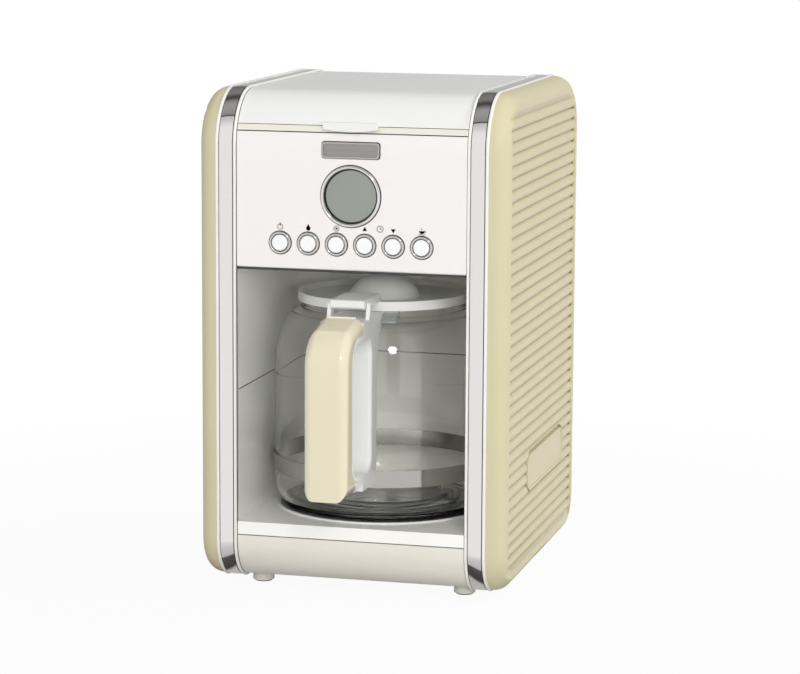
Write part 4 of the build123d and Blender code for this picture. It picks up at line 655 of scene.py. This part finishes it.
# floor and studio light
studio = {
    "floorSize": 8.0,
    "floorTone": (0.6, 0.6, 0.6, 1.0),
    "white": (1.0, 1.0, 1.0, 1.0),
    "floorLift": 0.945,  # share of plain white that the camera sees in the floor beside the object
    "fade": (0.2, 0.7),  # from here to here the floor turns to plain white
    # painted shade in the floor that only bright metal mirrors, darkest in a ring close round the base: metres
    # from the middle, and shade
    "underShades": [(0.0, 0.5), (0.111, 0.55), (0.113, 0.06), (0.129, 0.1), (0.133, 0.6), (0.22, 1.0)],
    "skyTone": (0.52, 0.525, 0.54, 1.0),
    "ceiling": (0.0, 0.292, 0.956),  # middle of the dark ceiling that bright metal mirrors
    # that ceiling's shade by the cosine from its middle
    "ceilingEdge": [(0.3, 1.0), (0.645, 0.62), (0.655, 0.04), (0.675, 0.04), (0.69, 0.3), (0.95, 0.42),
                    (0.985, 0.3), (1.0, 0.1)],
    "backWall": (1.0, 0.55),  # strength of the mirrored backdrop, at the front and at the rear
    "backSpan": (-0.2, 0.6),
    "lamps": [  # name, place, aim, size, watts, and whether it is mirrored
        ("keyLamp", (0.6, -2.5, 0.9), (0.0, 0.0, 0.16), 1.5, 15.5, False),
        ("bayLamp", (1.2, -2.2, 0.45), (0.0, 0.0, 0.13), 0.7, 11.0, False),
        ("leftLamp", (-1.6, -2.0, 1.3), (0.0, 0.0, 0.16), 1.5, 4.5, False),
        ("sideLamp", (2.1, 0.5, 2.0), (0.0, 0.0, 0.14), 0.6, 30.0, False),
        ("sparkLamp", (1.0, -2.2, 1.4), (0.0, 0.0, 0.13), 0.42, 7.0, True),
    ],
}
bm = bmesh.new()
bmesh.ops.create_grid(bm, x_segments=1, y_segments=1, size=studio["floorSize"] / 2)
floorMesh = bpy.data.meshes.new("floor")
bm.to_mesh(floorMesh)
bm.free()
floor = bpy.data.objects.new("floor", floorMesh)
bpy.context.collection.objects.link(floor)


def addShades(tree, value, levels):
    ramp = tree.nodes.new("ShaderNodeValToRGB")
    tree.links.new(value, ramp.inputs["Fac"])
    stops = ramp.color_ramp.elements
    for count, (level, shade) in enumerate(levels):
        stop = stops[count] if count < 2 else stops.new(1.0)  # a new ramp has two stops
        stop.position = level
        stop.color = (shade, shade, shade, 1.0)
    return ramp.outputs["Color"]


def addPath(tree):  # kind of ray, and a mask of what is seen straight or through clear pieces
    path = tree.nodes.new("ShaderNodeLightPath")
    straight = addMath(tree, "MAXIMUM", path.outputs["Is Camera Ray"], path.outputs["Is Transmission Ray"])
    return path, straight


floorPaper = bpy.data.materials.new("floorPaper")
floorPaper.use_nodes = True
tree = floorPaper.node_tree
tree.nodes.clear()
out = tree.nodes.new("ShaderNodeOutputMaterial")
paper = tree.nodes.new("ShaderNodeBsdfDiffuse")
lift = tree.nodes.new("ShaderNodeEmission")
where = tree.nodes.new("ShaderNodeTexCoord")
reach = addVector(tree, "LENGTH", where.outputs["Object"]).outputs["Value"]
far = addRange(tree, reach, 0.0, 1.0, *studio["fade"], smooth=True)
near = addRange(tree, far, studio["floorLift"], 1.0, 0.0, 1.0)
path, straight = addPath(tree)
seen = addMath(tree, "MULTIPLY", straight, near)
# painted shade that only reflections show, darkest in a ring round the base
under = addShades(tree, reach, studio["underShades"])
tone = addMix(tree, path.outputs["Is Glossy Ray"], studio["white"], under)
tree.links.new(tone, lift.inputs["Color"])
paper.inputs["Color"].default_value = studio["floorTone"]
blend = tree.nodes.new("ShaderNodeMixShader")
tree.links.new(addMath(tree, "MAXIMUM", seen, path.outputs["Is Glossy Ray"]), blend.inputs["Fac"])
tree.links.new(paper.outputs["BSDF"], blend.inputs[1])
tree.links.new(lift.outputs["Emission"], blend.inputs[2])
tree.links.new(blend.outputs["Shader"], out.inputs["Surface"])
floorMesh.materials.append(floorPaper)

world = bpy.data.worlds.new("studioWorld")
world.use_nodes = True
bpy.context.scene.world = world
tree = world.node_tree
tree.nodes.clear()
out = tree.nodes.new("ShaderNodeOutputWorld")
sky = tree.nodes.new("ShaderNodeBackground")
where = tree.nodes.new("ShaderNodeTexCoord")
flat = addVector(tree, "MULTIPLY", where.outputs["Generated"], (0.0, 1.0, 1.0)).outputs["Vector"]
unit = addVector(tree, "NORMALIZE", flat).outputs["Vector"]
above = addVector(tree, "DOT_PRODUCT", unit, studio["ceiling"]).outputs["Value"]
shades = addShades(tree, above, studio["ceilingEdge"])
apart = tree.nodes.new("ShaderNodeSeparateXYZ")
tree.links.new(where.outputs["Generated"], apart.inputs["Vector"])
backdrop = addRange(tree, apart.outputs["Y"], *studio["backWall"], *studio["backSpan"])
dimmed = addVector(tree, "SCALE", shades)
tree.links.new(backdrop, dimmed.inputs["Scale"])
path, straight = addPath(tree)
room = addMix(tree, path.outputs["Is Glossy Ray"], studio["skyTone"], dimmed.outputs["Vector"])
tone = addMix(tree, straight, room, studio["white"])
tree.links.new(tone, sky.inputs["Color"])
tree.links.new(sky.outputs["Background"], out.inputs["Surface"])

for name, place, aim, size, power, mirrored in studio["lamps"]:
    lamp = bpy.data.lights.new(name, "AREA")
    lamp.shape = "DISK"
    lamp.size = size
    lamp.energy = power
    lampObject = bpy.data.objects.new(name, lamp)
    towards = (Vector(aim) - Vector(place)).to_track_quat("-Z", "Y")
    lampObject.matrix_world = Matrix.Translation(place) @ towards.to_matrix().to_4x4()
    lampObject.visible_glossy = mirrored
    lampObject.visible_transmission = mirrored
    bpy.context.collection.objects.link(lampObject)
print("floor and lamps placed")

# camera fitted to the photograph
shot = {"place": (0.4894, -1.8582, 0.4634), "yaw": 14.446, "pitch": 9.081, "roll": 0.328, "lens": 133.14,
        "sensor": 36.0, "clip": (0.05, 50.0)}
yaw, pitch, roll = (math.radians(shot[k]) for k in ("yaw", "pitch", "roll"))
ahead = Vector((-math.sin(yaw) * math.cos(pitch), math.cos(yaw) * math.cos(pitch), -math.sin(pitch)))
right = Vector((math.cos(yaw), math.sin(yaw), 0.0))
up = right.cross(ahead)
sideways = right * math.cos(roll) + up * math.sin(roll)
upright = up * math.cos(roll) - right * math.sin(roll)
turn = Matrix((sideways, upright, -ahead)).transposed().to_4x4()
lens = bpy.data.cameras.new("photoCamera")
lens.lens = shot["lens"]
lens.sensor_width = shot["sensor"]
lens.sensor_fit = "HORIZONTAL"
lens.clip_start, lens.clip_end = shot["clip"]
camera = bpy.data.objects.new("photoCamera", lens)
camera.matrix_world = Matrix.Translation(shot["place"]) @ turn
bpy.context.collection.objects.link(camera)
bpy.context.scene.camera = camera
bpy.context.scene.view_settings.view_transform = "Standard"
print("camera set")
